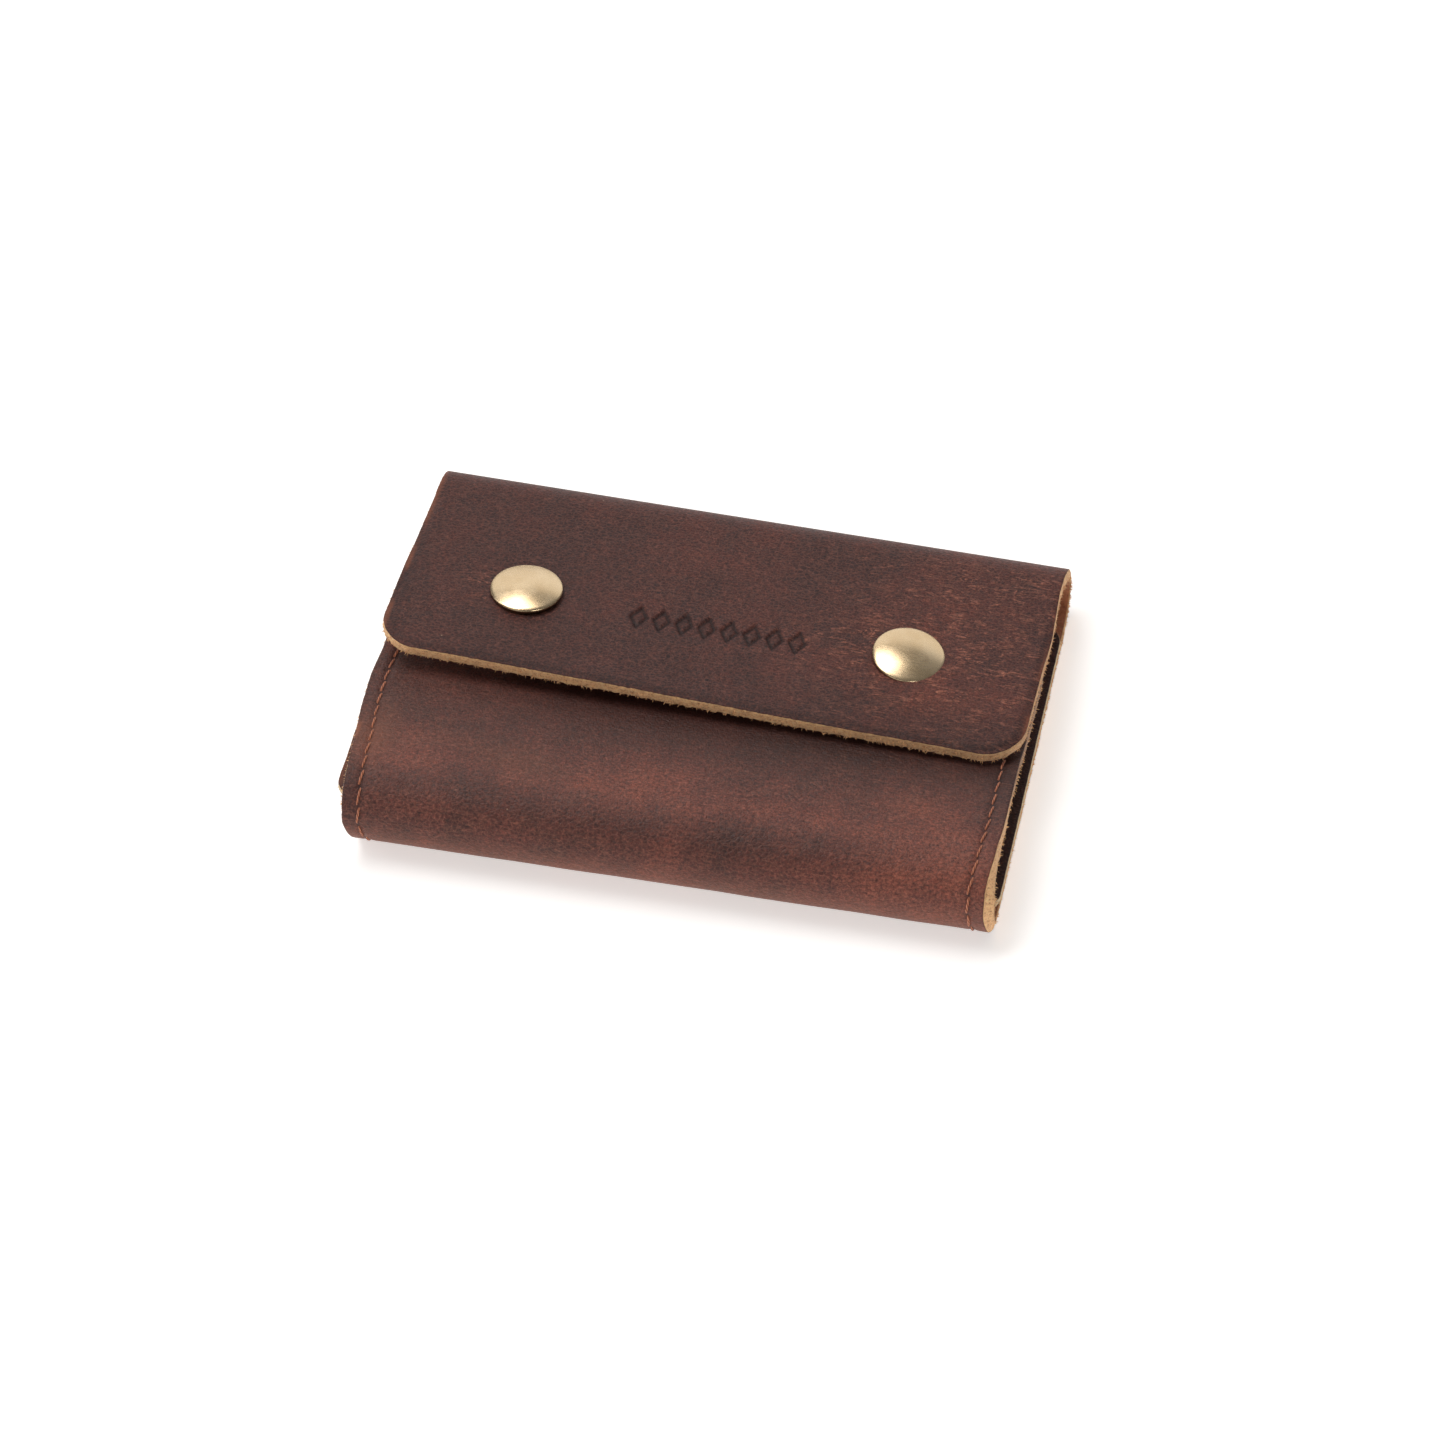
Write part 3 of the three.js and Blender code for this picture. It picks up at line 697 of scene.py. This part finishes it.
def back_relief(x, s, outer):
    """Hollows round the caps, the stamp, and the leather's own unevenness."""
    on_flap = ramp(s, BACK_FOLD_S[1], BACK_FOLD_S[1] + 4)
    swell = on_flap * 0.05 * noise(x, s, 7.0, 51)
    if not outer:
        return swell
    sunk, floor = stamped(x, s)
    pulled = -0.18 * near_snaps(x, s, CAPS_S, 9.5)
    worn = -0.32 * bump(tip_distance(x, s), 1.5) * (s > BACK_FOLD_S[1] + 4)
    return swell + on_flap * (pulled + 0.015 * noise(x, s, 1.4, 52)) + worn - 0.36 * sunk + 0.26 * floor


def tip_distance(x, s):
    """How far a point of the flap is from its nearest cut edge."""
    to_tip = BACK_LINE.long - s
    to_side = HALF_WIDTH - np.abs(x)
    corner = np.hypot(np.clip(FLAP_CORNER_R - to_side, 0, None), np.clip(FLAP_CORNER_R - to_tip, 0, None))
    in_corner = (to_side < FLAP_CORNER_R) & (to_tip < FLAP_CORNER_R)
    return np.where(in_corner, FLAP_CORNER_R - corner, np.minimum(to_tip, to_side))


def back_shade_and_burnish(x, s):
    """Darker in the stamp and along the burnished front edge, and painted shade under the caps' rims and over
    the flap's right front.
    """
    sunk, floor = stamped(x, s)
    # painted shade round the caps' rims
    ring = near_snaps(x, s, CAPS_S, 8.2) * 0.5
    rim = 0.34 * bump(tip_distance(x, s) - 0.9, 1.4) * (s > BACK_FOLD_S[1] + 14)
    # painted shade over the flap's right front
    low_right = 0.24 * ramp(x, 12, 38) * ramp(s, FLAP_SNAP_S + 4, BACK_LINE.long - 6)
    return np.clip(0.85 * sunk - 0.62 * floor + ring + rim + low_right, 0, 0.9)


def back_red(x, s):
    """Redder patches, more of them to the right and along the back fold."""
    patch = noise(x, s, 17.0, 61) + 0.5 * noise(x, s, 6.0, 62)
    right = ramp(x, -20, 45) * (0.35 - 0.4 * ramp(s, FLAP_SNAP_S + 6, BACK_LINE.long - 4))
    return 0.35 * patch + right - 0.28 + 0.35 * bump(s - BACK_FOLD_S[1] + 4, 7)


def back_crease(x, s):
    """Where fine wrinkles show: round the caps, most by the right one."""
    by_right_cap = bump(np.hypot((x - 30) / 2.4, s - FLAP_SNAP_S + 0.5), 12)
    by_left_cap = bump(np.hypot((x + 41) / 0.8, s - FLAP_SNAP_S), 9) * 0.6
    right_strip = ramp(x, 8, 40) * 0.6
    return np.clip(by_right_cap + by_left_cap + right_strip + 0.12, 0, 1) * (s > BACK_FOLD_S[1])


def worn_sides(x, s, reach, seed):
    """Patches along the left and right edges."""
    return bump(HALF_WIDTH - np.abs(x), reach) * ramp(noise(s, 0.0, 3.0, seed), -0.6, 0.4)


def back_rub(x, s):
    sides = 0.55 * worn_sides(x, s, 0.8, 63)
    return sides * (s > BACK_FOLD_S[0])


X_FINE = 17.5  # the stamp's end
BACK_COLUMNS = spaced([(-HALF_WIDTH, 0), (-X_FINE, 0.5), (X_FINE, 0.3), (HALF_WIDTH, 0.5)])
STAMP_FINE = 3.8
CORNER_ROWS = BACK_LINE.long - EDGE_ROUND - FLAP_CORNER_R * (1 - np.sin(np.linspace(0, math.pi / 2, 20)))
BACK_ROWS = np.concatenate([
    spaced([(0, 0), (30, 2.0), (BACK_FOLD_S[1] + 2, 0.5), (STAMP_S - STAMP_FINE, 0.65),
            (STAMP_S + STAMP_FINE, 0.3), (CORNER_ROWS[0], 0.5)])[:-1],
    CORNER_ROWS,
])
back = leather_sheet(
    "back_leather", BACK_LINE, BACK_ROWS, BACK_COLUMNS, back_sides, back_warp, back_relief, LEATHER,
    [BACK_GRAIN, TAN_EDGE, FLESH], joined_start=True, tip_corner=(FLAP_CORNER_R, False), seed=3, fibres=1500,
    tones={"shade": back_shade_and_burnish, "red": back_red, "crease": back_crease, "rub": back_rub},
)


def front_warp(x, y, z, s):
    """The front fold lies a little out of square, further forward on the left."""
    lift = ramp(s, FRONT_FOLD_S[0] - 3, FRONT_FOLD_S[0] + 8) * (1 - ramp(s, 66, 88))
    wave = lift * (0.2 * noise(x, s, 28.0, 71) + 0.1 * noise(x, s, 11.0, 72))
    return x, y - lift * (0.62 - 0.0125 * x), z + wave * ramp(s, FRONT_FOLD_S[0] + 8, FRONT_FOLD_S[1])


def front_sides(s, outer):
    """Left and right x of the front half of the strip. The outside of the fold draws in."""
    marks = [0, 29, 32.75, 35.5, 38, 40.5, 43, 47, 52, 60, 66, 74, FRONT_LINE.long]
    if outer:
        right = [54.95, 54.9, 54.85, 54.7, 54.45, 54.0, 53.5, 53.4, 53.9, 54.2, 54.2, 54.1, 54.1]
        left = [-55.0, -54.9, -54.1, -53.0, -52.6, -53.2, -54.0, -54.3, -54.5, -55.2, -55.8, -56.3, -56.0]
    else:
        right = [54.95, 54.95, 54.95, 54.95, 54.95, 54.95, 54.9, 54.9, 54.5, 54.4, 54.3, 54.2, 54.2]
        left = [-55.0, -54.9, -54.3, -53.4, -53.1, -53.6, -54.3, -54.7, -54.9, -55.2, -55.8, -56.3, -56.0]
    wander = 0.08 * noise(s, 0.0, 5.0, 81 + outer)
    step = 0 if outer else 0.35 * (1 - ramp(s, 45.6, 46.6)) * ramp(s, 34, 38)
    return np.interp(s, marks, left) + wander, np.interp(s, marks, right) + wander + step


SEAM_FROM = 33.0
STITCH_S = np.arange(34.0, FRONT_LINE.long - 2.0 - STITCH_PITCH, STITCH_PITCH)


def stitch_x(s, side):
    """The x of the left or right seam at an arc length."""
    left, right = front_sides(np.asarray(s, float), True)
    return left + STITCH_IN if side < 0 else right - STITCH_IN


def to_seam(x, s):
    """How far a point is from the nearer seam."""
    return np.minimum(np.abs(x - stitch_x(s, -1)), np.abs(x - stitch_x(s, 1)))


def to_hole(x, s):
    """How far a point is from the nearest stitch hole."""
    gap = (s - STITCH_S[0]) / STITCH_PITCH
    return np.hypot(to_seam(x, s), (gap - np.round(gap)) * STITCH_PITCH)


def front_relief(x, s, outer):
    """The seams' grooves and holes, hollows under the studs, and the leather's own unevenness."""
    on_panel = ramp(s, FRONT_FOLD_S[0] - 2, FRONT_FOLD_S[0] + 3)
    swell = on_panel * 0.07 * noise(x, s, 8.0, 91)
    if not outer:
        return swell
    groove = -0.16 * bump(to_seam(x, s), 1.1) - 0.14 * bump(to_hole(x, s), 0.75)
    sunk = -0.12 * near_snaps(x, s, SNAP_PANEL_S, 8.0)
    return swell + on_panel * (groove * (s > SEAM_FROM) + sunk + 0.012 * noise(x, s, 1.3, 92))


def front_shade(x, s):
    """Darker under the flap, along the seams, and in a band that wanders along the front fold."""
    under_flap = 0.34 * ramp(s, 58, 76) + 0.38 * ramp(s, 59, 72) * ramp(x, -40, -12)
    seams = (0.85 * bump(to_hole(x, s), 0.55) + 0.18 * bump(to_seam(x, s), 1.2)) * (s > SEAM_FROM)
    band = 0.38 * bump(s - 50 + 2.5 * noise(x, 0.0, 20.0, 93), 5)
    band = band * (0.7 + 0.3 * noise(x, s, 9.0, 94)) * (1 - 0.8 * ramp(x, 20, 45))
    return np.clip(under_flap + seams + band, 0, 0.9)


def front_red(x, s):
    """Redder patches, most of them low on the right."""
    patch = noise(x, s, 15.0, 95) + 0.5 * noise(x, s, 5.0, 96)
    low_right = 0.75 * ramp(x, 6, 36) * bump(s - 47, 13)
    left = 0.45 * bump(np.hypot(x + 46, (s - 55) / 1.6), 9)
    return 0.34 * patch + 0.3 * bump(s - 55, 5) + low_right + left - 0.05


def front_crease(x, s):
    """Where fine wrinkles show, most by the right snap."""
    return np.clip(0.22 + 0.5 * ramp(s, 60, 74) * ramp(x, -10, 40), 0, 1) * (s > 40)


def front_rub(x, s):
    """Paler along the sides, low on the fold and in patches over the panel's swell."""
    sides = 0.6 * worn_sides(x, s, 0.9, 97)
    worn = 0.16 * bump(s - 58, 7) * ramp(noise(x, s, 13.0, 98), 0.0, 0.8) + 0.3 * bump(s - 39, 6)
    left = 0.25 * bump(x + 52, 5) * bump(s - 60, 12)
    return np.clip(sides + worn + left, 0, 0.8) * (s > FRONT_FOLD_S[0])


FRONT_ROWS = spaced([
    (0, 0), (29, 2.0), (FRONT_FOLD_S[1] + 1, 0.45), (78, 0.55), (FRONT_LINE.long - EDGE_ROUND, 0.8),
])
FRONT_COLUMNS = spaced([(-HALF_WIDTH, 0), (-49, 0.32), (49, 0.62), (HALF_WIDTH, 0.32)])
front = leather_sheet(
    "front_leather", FRONT_LINE, FRONT_ROWS, FRONT_COLUMNS, front_sides, front_warp, front_relief, LEATHER,
    [FRONT_GRAIN, TAN_EDGE, FLESH], joined_start=True, seed=5, fibres=900,
    tones={"shade": front_shade, "red": front_red, "crease": front_crease, "rub": front_rub},
)

# ------------ the leather inside

INNER_LOW, INNER_HIGH = 2.1, 3.5
INNER_FRONT, INNER_BACK = -31.4, 34.0
INNER_LEFT, INNER_RIGHT = -58.1, 55.0
INNER_SKEW = 0.026
INNER_MIDDLE = 0.5 * (INNER_LOW + INNER_HIGH)
INNER_LINE = Line([(INNER_FRONT, INNER_MIDDLE), (INNER_BACK, INNER_MIDDLE)], -1)


def inner_sides(s, _):
    return INNER_LEFT + 0.1 * noise(s, 0.0, 5.0, 101), np.full(len(s), INNER_RIGHT)


def inner_warp(x, y, z, s):
    """The piece is cut a little out of square, turns up into the front fold and droops where it overhangs."""
    y = y - INNER_SKEW * (x - INNER_LEFT)
    return x, y, z - 0.45 * ramp(-x, 54.6, 59.0) + 0.5 * ramp(-y, 31.0, 35.0)


inner = leather_sheet(
    "inner_leather", INNER_LINE,
    spaced([(EDGE_ROUND, 0), (4.2, 0.4), (60.8, 1.2), (INNER_LINE.long - EDGE_ROUND, 0.4)]),
    spaced([(-HALF_WIDTH, 0), (-48, 0.5), (48, 1.2), (HALF_WIDTH, 0.5)]), inner_sides, inner_warp,
    lambda x, s, _: 0.03 * noise(x, s, 6.0, 103) * ramp(s, 0, 3), INNER_HIGH - INNER_LOW,
    [INNER_GRAIN, INNER_EDGE, FLESH], tip_corner=(4.0, True), seed=8, fibres=260,
    tones={"crease": lambda x, _: np.full_like(x, 0.25), "rub": lambda x, _: 0.4 * bump(np.abs(x) - 58, 1.2)},
)

LINER_THICK = 0.8
LINER_LIFT = (LEATHER + LINER_THICK) / 2 + 0.05
LINER_FROM = FRONT_LINE.s_at_y(-30.0, 50)
LINER_TO = FRONT_LINE.s_at_y(1.0, 60)


def below(line, low, high, lift):
    """A stretch of another line, set in from it."""
    at = np.linspace(low, high, 80)
    y, z = line.place(at)
    ny, nz = line.normal(at)
    return Line(list(zip(y - ny * lift, z - nz * lift)), line.outward)


LINER_LINE = below(FRONT_LINE, LINER_FROM, LINER_TO, LINER_LIFT)


def liner_sides(s, _):
    return np.full(len(s), -53.4), np.full(len(s), 53.0)


def liner_warp(x, y, z, s):
    return front_warp(x, y, z, s + LINER_FROM)


liner = leather_sheet(
    "pocket_lining", LINER_LINE, spaced([(EDGE_ROUND, 0), (LINER_LINE.long - EDGE_ROUND, 0.7)]),
    spaced([(-HALF_WIDTH, 0), (HALF_WIDTH, 1.0)]), liner_sides, liner_warp,
    lambda x, s, _: 0.02 * noise(x, s, 5.0, 105) - 0.05, LINER_THICK,
    [LINER_FACE, TAN_EDGE, LINER_FACE], tip_corner=(1.5, True), seed=9, ragged=0.05,
)

# ------------ stitches


TUBE_SIDES = 10
STITCH_RADIUS = 0.195
STITCH_SLANT = 0.19


def tube(path, radii, sides=TUBE_SIDES):
    """Vertices and quads of a closed round bar along a path, in the path's units."""
    path = np.asarray(path, float)
    tangent = np.gradient(path, axis=0)
    tangent /= np.linalg.norm(tangent, axis=1)[:, None]
    across = np.cross(tangent, np.array([1.0, 0.07, 0.03]))
    across /= np.linalg.norm(across, axis=1)[:, None]
    third = np.cross(tangent, across)
    angle = np.linspace(0, 2 * math.pi, sides, endpoint=False)
    ring = across[:, None] * np.cos(angle)[None, :, None] + third[:, None] * np.sin(angle)[None, :, None]
    vertices = (path[:, None] + ring * np.asarray(radii)[:, None, None]).reshape(-1, 3)
    faces = []
    for i in range(len(path) - 1):
        for k in range(sides):
            a, b = i * sides + k, i * sides + (k + 1) % sides
            faces.append((a, b, b + sides, a + sides))
    faces.append(tuple(range(sides))[::-1])
    faces.append(tuple((len(path) - 1) * sides + k for k in range(sides)))
    return vertices, faces


def on_front(x, s, lift, outer=True):
    """Points on the visual front strip, lifted off one of its faces."""
    x, s = np.broadcast_arrays(np.asarray(x, float), np.asarray(s, float))
    y, z = FRONT_LINE.place(s)
    ny, nz = FRONT_LINE.normal(s)
    off = MIDDLE + lift + front_relief(x, s, True) if outer else -MIDDLE - lift
    return np.stack(front_warp(x, y + ny * off, z + nz * off, s), -1)


def seam(name, side, rng):
    """A row of separate lock stitches, each dipping into its holes, inside and outside."""
    vertices, faces, uv = [], [], []
    t = np.linspace(-1, 1, 11)
    half = STITCH_PITCH / 2 - 0.06
    for outer in (True, False):
        for s0 in STITCH_S:
            slant = STITCH_SLANT + rng.uniform(-0.05, 0.07)
            s = s0 + STITCH_PITCH / 2 + half * t + rng.normal(0, 0.03)
            x = stitch_x(s, side) + slant * t + rng.normal(0, 0.03)
            rise = 0.12 * (1 - np.abs(t) ** 3.2) - 0.3 * np.abs(t) ** 5
            if not outer:
                rise = rise * 0.8
            path = on_front(x, s, rise, outer)
            radii = STITCH_RADIUS * (1 - 0.3 * np.abs(t) ** 4) * rng.uniform(0.88, 1.12)
            v, f = tube(path, radii)
            faces += [tuple(i + len(vertices) for i in q) for q in f]
            uv += [(k * 0.18, i * 0.25 + s0) for i in range(len(path)) for k in range(TUBE_SIDES)]
            vertices += list(v)
    obj = new_object(name, np.array(vertices) * MM, faces, [THREAD])
    set_mesh_data(obj, np.zeros(len(faces)), np.array(uv), {})
    face_out(obj)
    return obj


stitch_rng = np.random.default_rng(17)
seams = {"left": seam("stitches_left", -1, stitch_rng), "right": seam("stitches_right", 1, stitch_rng)}

# ------------ snaps


PAINTED_RIM_SHADE = (0.45, 1.2)  # the heights between which the painted shade on a cap's low rim fades


def turned(name, profile, centre, tilt, material, facets=96, lean=0.0):
    """A closed turned body from (radius, height) marks in millimetres, tilted about X and leant about Y."""
    vertices, faces, rings = [], [], []
    for r, z in profile:
        if r < 1e-6:
            rings.append([len(vertices)] * facets)
            vertices.append((0.0, 0.0, z))
        else:
            rings.append(list(range(len(vertices), len(vertices) + facets)))
            angles = [2 * math.pi * k / facets for k in range(facets)]
            vertices += [(r * math.cos(a), r * math.sin(a), z) for a in angles]
    pairs = list(zip(rings[:-1], rings[1:]))
    if profile[0] == profile[-1]:
        pairs = list(zip(rings[:-2], rings[1:-1])) + [(rings[-2], rings[0])]
        vertices = vertices[:-facets]
    for low, high in pairs:
        for k in range(facets):
            j = (k + 1) % facets
            corners = low[k], low[j], high[j], high[k]
            faces.append(tuple(dict.fromkeys(corners)))
    obj = new_object(name, np.array(vertices) * MM, faces, [material])
    # how much painted shade a low rim gets; only the caps' brass shows it
    rim = 1 - ramp(np.array(vertices)[:, 2], *PAINTED_RIM_SHADE)
    obj.data.attributes.new("rim", "FLOAT", "POINT").data.foreach_set("value", rim.astype(np.float32))
    face_out(obj)
    turn = Matrix.Rotation(tilt, 4, "X") @ Matrix.Rotation(lean, 4, "Y")
    obj.data.transform(Matrix.Translation(Vector(centre) * MM) @ turn)
    return obj


def flap_spot(x):
    """Where the flap's snap at x really sits, on the visual flap."""
    y, z = flap_point(SNAP_ALONG, 0)
    moved = back_warp(np.array([x]), np.array([y]), np.array([z]), np.array([FLAP_SNAP_S]))
    return tuple(float(v[0]) for v in moved)


def dome(edge, low, high, count):
    """Part of a ball from its edge up to its top, as (radius, height) marks."""
    rise = high - low
    ball = (edge * edge + rise * rise) / (2 * rise)
    tilt = math.asin(edge / ball)
    angles = np.linspace(tilt, 0, count)
    return [(ball * math.sin(a), high - ball * (1 - math.cos(a))) for a in angles]


# (radius, height) marks, with the height from the flap's top face
CAP_ROLL = [(5.75, -0.6), (5.98, 0.0), (6.13, 0.4), (6.2, 0.68), (6.16, 0.9), (6.04, 1.05), (5.86, 1.14)]
CAP_POST = [(0.0, -2.2), (1.6, -2.2), (1.6, -0.8), (5.55, -0.8)]
CAP_PROFILE = CAP_POST + spline(CAP_ROLL, 5)[:-1] + dome(5.8, 1.17, 1.95, 22)
SOCKET_PROFILE = [
    (1.75, -2.1), (1.75, -3.0), (3.0, -3.0), (3.12, -3.3), (3.1, -3.75), (3.22, -4.1), (3.42, -4.32),
    (3.7, -4.4), (4.2, -4.4), (4.55, -4.3), (4.75, -4.05), (4.8, -3.7), (4.82, -3.3), (4.9, -3.05),
    (5.1, -2.92), (5.2, -2.75), (5.2, -2.35), (5.1, -2.14), (4.9, -2.1), (1.75, -2.1),
]
STUD_PROFILE = [
    (0.0, -5.35), (4.6, -5.35), (4.78, -4.98), (4.8, -4.85), (4.7, -4.72), (4.45, -4.6), (3.9, -4.52),
    (2.3, -4.48), (1.85, -4.4), (1.75, -4.25), (1.76, -4.1), (1.92, -3.98), (2.05, -3.84), (2.04, -3.7),
    (1.92, -3.58), (1.6, -3.48), (1.15, -3.45), (0.9, -3.47), (0.6, -3.56), (0.0, -3.6),
]
EYELET_PROFILE = [
    (0.9, -5.45), (0.9, -7.3), (0.98, -7.5), (1.15, -7.63), (1.4, -7.67), (3.6, -7.67), (3.95, -7.62),
    (4.2, -7.5), (4.3, -7.3), (4.25, -7.15), (4.1, -7.1), (1.5, -7.1), (1.5, -5.45), (0.9, -5.45),
]

# how each side's pieces sit off their CAD places, to follow the photo and the visual leather
SNAP_MOVED = {"left": (-0.6, 0.2), "right": (-0.6, 0.7)}
CAP_SUNK = {"left": 0.22, "right": 0.52}
SOCKET_RAISED = {"left": 0.0, "right": 0.25}
CAP_TILT = {"left": (math.radians(-1.5), 0.0), "right": (math.radians(5.0), math.radians(6.0))}
FLAP_FALL = 0.08  # the flap's fall for each millimetre back


def panel_spot(x, y):
    """Where the flap's face would be over x and y, if it lay on the visual panel as it does in the CAD."""
    drop_y, drop_z = PANEL_DROP * math.sin(SLOPE), PANEL_DROP * math.cos(SLOPE)
    near = on_front(x, np.array([SNAP_PANEL_S]), 0.0)[0]
    seat = on_front(x, np.array([SNAP_PANEL_S + y - drop_y - near[1]]), 0.0)[0]
    return x, seat[1] + drop_y, seat[2] + drop_z


snaps = {}
for side, snap_x in (("left", -SNAP_X), ("right", SNAP_X)):
    x, y, z = flap_spot(snap_x)
    aside, back_by = SNAP_MOVED[side]
    x, y, z = x + aside, y + back_by, z - FLAP_FALL * back_by
    for kind, profile, material, place in (
        ("cap", CAP_PROFILE, BRASS, (x, y, z - CAP_SUNK[side])),
        ("socket", SOCKET_PROFILE, BRASS_HIDDEN, (x, y, z + SOCKET_RAISED[side])),
        ("stud", STUD_PROFILE, BRASS_HIDDEN, panel_spot(x, y)),
        ("eyelet", EYELET_PROFILE, BRASS_HIDDEN, panel_spot(x, y)),
    ):
        tilt, lean = CAP_TILT[side] if kind == "cap" else (0, 0)
        snaps[kind, side] = turned(f"{kind}_{side}", profile, place, tilt - SLOPE, material, lean=lean)

# ------------ bar, rivets, hooks, gates and pins


def eased_copy(node, name, material, width):
    """A copy of a CAD piece with its sharp edges rounded off."""
    obj = frame["nodes"][node].copy()
    obj.data = obj.data.copy()
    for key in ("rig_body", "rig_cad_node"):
        if key in obj:
            del obj[key]
    obj.parent = None
    obj.name = name
    obj.data.materials.clear()
    obj.data.materials.append(material)
    bpy.context.scene.collection.objects.link(obj)
    bm = bmesh.new()
    bm.from_mesh(obj.data)
    bmesh.ops.remove_doubles(bm, verts=bm.verts, dist=2e-6)
    bmesh.ops.dissolve_limit(bm, angle_limit=math.radians(0.6), verts=bm.verts, edges=bm.edges)
    sharp = [e for e in bm.edges if len(e.link_faces) == 2 and e.calc_face_angle(0) > math.radians(40)]
    bmesh.ops.bevel(
        bm, geom=sharp, offset=width * MM, segments=2, profile=0.5, affect="EDGES", clamp_overlap=True
    )
    bmesh.ops.triangulate(bm, faces=[f for f in bm.faces if len(f.verts) > 4])
    bmesh.ops.recalc_face_normals(bm, faces=bm.faces)
    bm.to_mesh(obj.data)
    bm.free()
    for polygon in obj.data.polygons:
        polygon.use_smooth = True
    obj.data.set_sharp_from_angle(angle=math.radians(32))
    return obj


# (radius, height) marks of a rivet and a hook pin, with the height from the table
RIVET_PROFILE = [
    (0.0, 2.1), (1.4, 2.1), (1.4, 4.5), (2.32, 4.5), (2.47, 4.55), (2.5, 4.7), (2.42, 4.88), (2.15, 5.05),
    (1.6, 5.18), (0.9, 5.27), (0.4, 5.3), (0.0, 5.3),
]
PIN_PROFILE = [
    (0.0, 3.6), (1.0, 3.6), (1.0, 5.85), (1.78, 5.85), (1.88, 5.9), (1.9, 6.02), (1.82, 6.16),
    (1.55, 6.32), (1.0, 6.41), (0.4, 6.45), (0.0, 6.45),
]
BAR_Y = 23.0
RIVET_X = 39.0
HOOKS = 6

# each with its body, the node it replaces and its slot
hardware = [(eased_copy("key_bar", "bar", NICKEL, 0.12), "base", "key_bar", "bar_steel")]
for side, x in (("left", -RIVET_X), ("right", RIVET_X)):
    made = turned(f"rivet_{side}", RIVET_PROFILE, (x, BAR_Y, 0), 0, NICKEL, 48)
    hardware.append((made, "base", f"bar_rivet_{side}", "rivet_steel"))
for number in range(1, HOOKS + 1):
    hook = eased_copy(f"hook_{number}", f"key_hook_{number}", NICKEL, 0.22)
    hardware.append((hook, f"hook_{number}", f"hook_{number}", "hook_steel"))
    gate = eased_copy(f"gate_{number}", f"spring_gate_{number}", SPRING_STEEL, 0.08)
    hardware.append((gate, f"gate_{number}", f"gate_{number}", "gate_steel"))
    low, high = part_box(f"hook_pin_{number}")
    x = 0.5 * (low.x + high.x) / MM
    pin = turned(f"pin_{number}", PIN_PROFILE, (x, BAR_Y, 0), 0, NICKEL, 40)
    hardware.append((pin, "base", f"hook_pin_{number}", "rivet_steel"))

# ------------ joining everything to the frame

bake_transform(back)
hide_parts("base_panel", "back_fold", "flap")
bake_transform(front)
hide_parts("base_panel", "front_fold", "front_panel")
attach(inner, "base")
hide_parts("inner_panel")
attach(liner, "front_panel")
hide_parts("pocket_liner")
for side, stitches in seams.items():
    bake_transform(stitches)
    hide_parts(f"panel_stitch_{side}")
for (kind, side), made in snaps.items():
    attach(made, "flap" if kind in ("cap", "socket") else "front_panel")
    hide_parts(f"snap_{kind}_{side}")
for made, body, node, slot in hardware:
    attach(made, body)
    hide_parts(node)

# ------------ floor, lights and camera


def aim(obj, target):
    """Turns a light or camera to look at a point."""
    direction = Vector(target) - obj.location
    obj.rotation_mode = "QUATERNION"
    obj.rotation_quaternion = direction.to_track_quat("-Z", "Y")


def area_light(name, at, size, power, colour=(1, 1, 1), target=(0, 0, 0.005)):
    """A rectangular studio light, with its place and size in metres and its power in watts."""
    data = bpy.data.lights.new(name, "AREA")
    data.shape = "RECTANGLE"
    data.size, data.size_y = size
    data.energy = power
    data.color = colour
    obj = bpy.data.objects.new(name, data)
    obj.location = at
    bpy.context.scene.collection.objects.link(obj)
    aim(obj, target)


FLOOR_HALF = 6.0
PAPER = Look(
    "paper", Roughness=0.85, Specular_IOR_Level=0.1, Base_Color=(0.93, 0.92, 0.91, 1),
    Emission_Color=(1.0, 0.975, 0.95, 1), Emission_Strength=0.47,
).material
corners = [(x * FLOOR_HALF, y * FLOOR_HALF, 0) for x, y in ((-1, -1), (1, -1), (1, 1), (-1, 1))]
floor = new_object("floor", corners, [(0, 1, 2, 3)], [PAPER])
floor.location.z = -0.1 * MM

area_light("top_light", (-0.5, 0.33, 1.25), (1.2, 0.6), 11.2, (1.0, 0.99, 0.975))
area_light("backdrop", (-0.1, 1.7, 0.75), (2.6, 1.2), 8.0, target=(0, 0, 0.1))
area_light("left_card", (-1.3, -0.1, 0.8), (0.6, 0.9), 3.0, (0.98, 0.99, 1.0))
area_light("right_light", (0.85, -0.95, 0.75), (0.5, 0.5), 3.6)
area_light("front_card", (-0.6, -1.45, 0.55), (1.5, 0.7), 3.0)

world = bpy.data.worlds.new("studio")
bpy.context.scene.world = world
world.use_nodes = True
background = world.node_tree.nodes["Background"]
background.inputs["Color"].default_value = (1, 1, 1, 1)
background.inputs["Strength"].default_value = 0.16

CAMERA_AZIMUTH, CAMERA_HEIGHT = math.radians(11.8), math.radians(47.7)
CAMERA_AWAY = 1.05
CAMERA_LENS, CAMERA_SENSOR = 154.2, 36
target = Vector((1.63, 0.68, 0)) * MM
to_camera = Vector((
    math.sin(CAMERA_AZIMUTH) * math.cos(CAMERA_HEIGHT),
    -math.cos(CAMERA_AZIMUTH) * math.cos(CAMERA_HEIGHT),
    math.sin(CAMERA_HEIGHT),
))
camera_data = bpy.data.cameras.new("camera")
camera_data.lens = CAMERA_LENS
camera_data.sensor_width = CAMERA_SENSOR
camera = bpy.data.objects.new("camera", camera_data)
camera.location = target + to_camera * CAMERA_AWAY
bpy.context.scene.collection.objects.link(camera)
aim(camera, target)

scene = bpy.context.scene
scene.camera = camera
scene.view_settings.view_transform = "Standard"
scene.view_settings.look = "None"
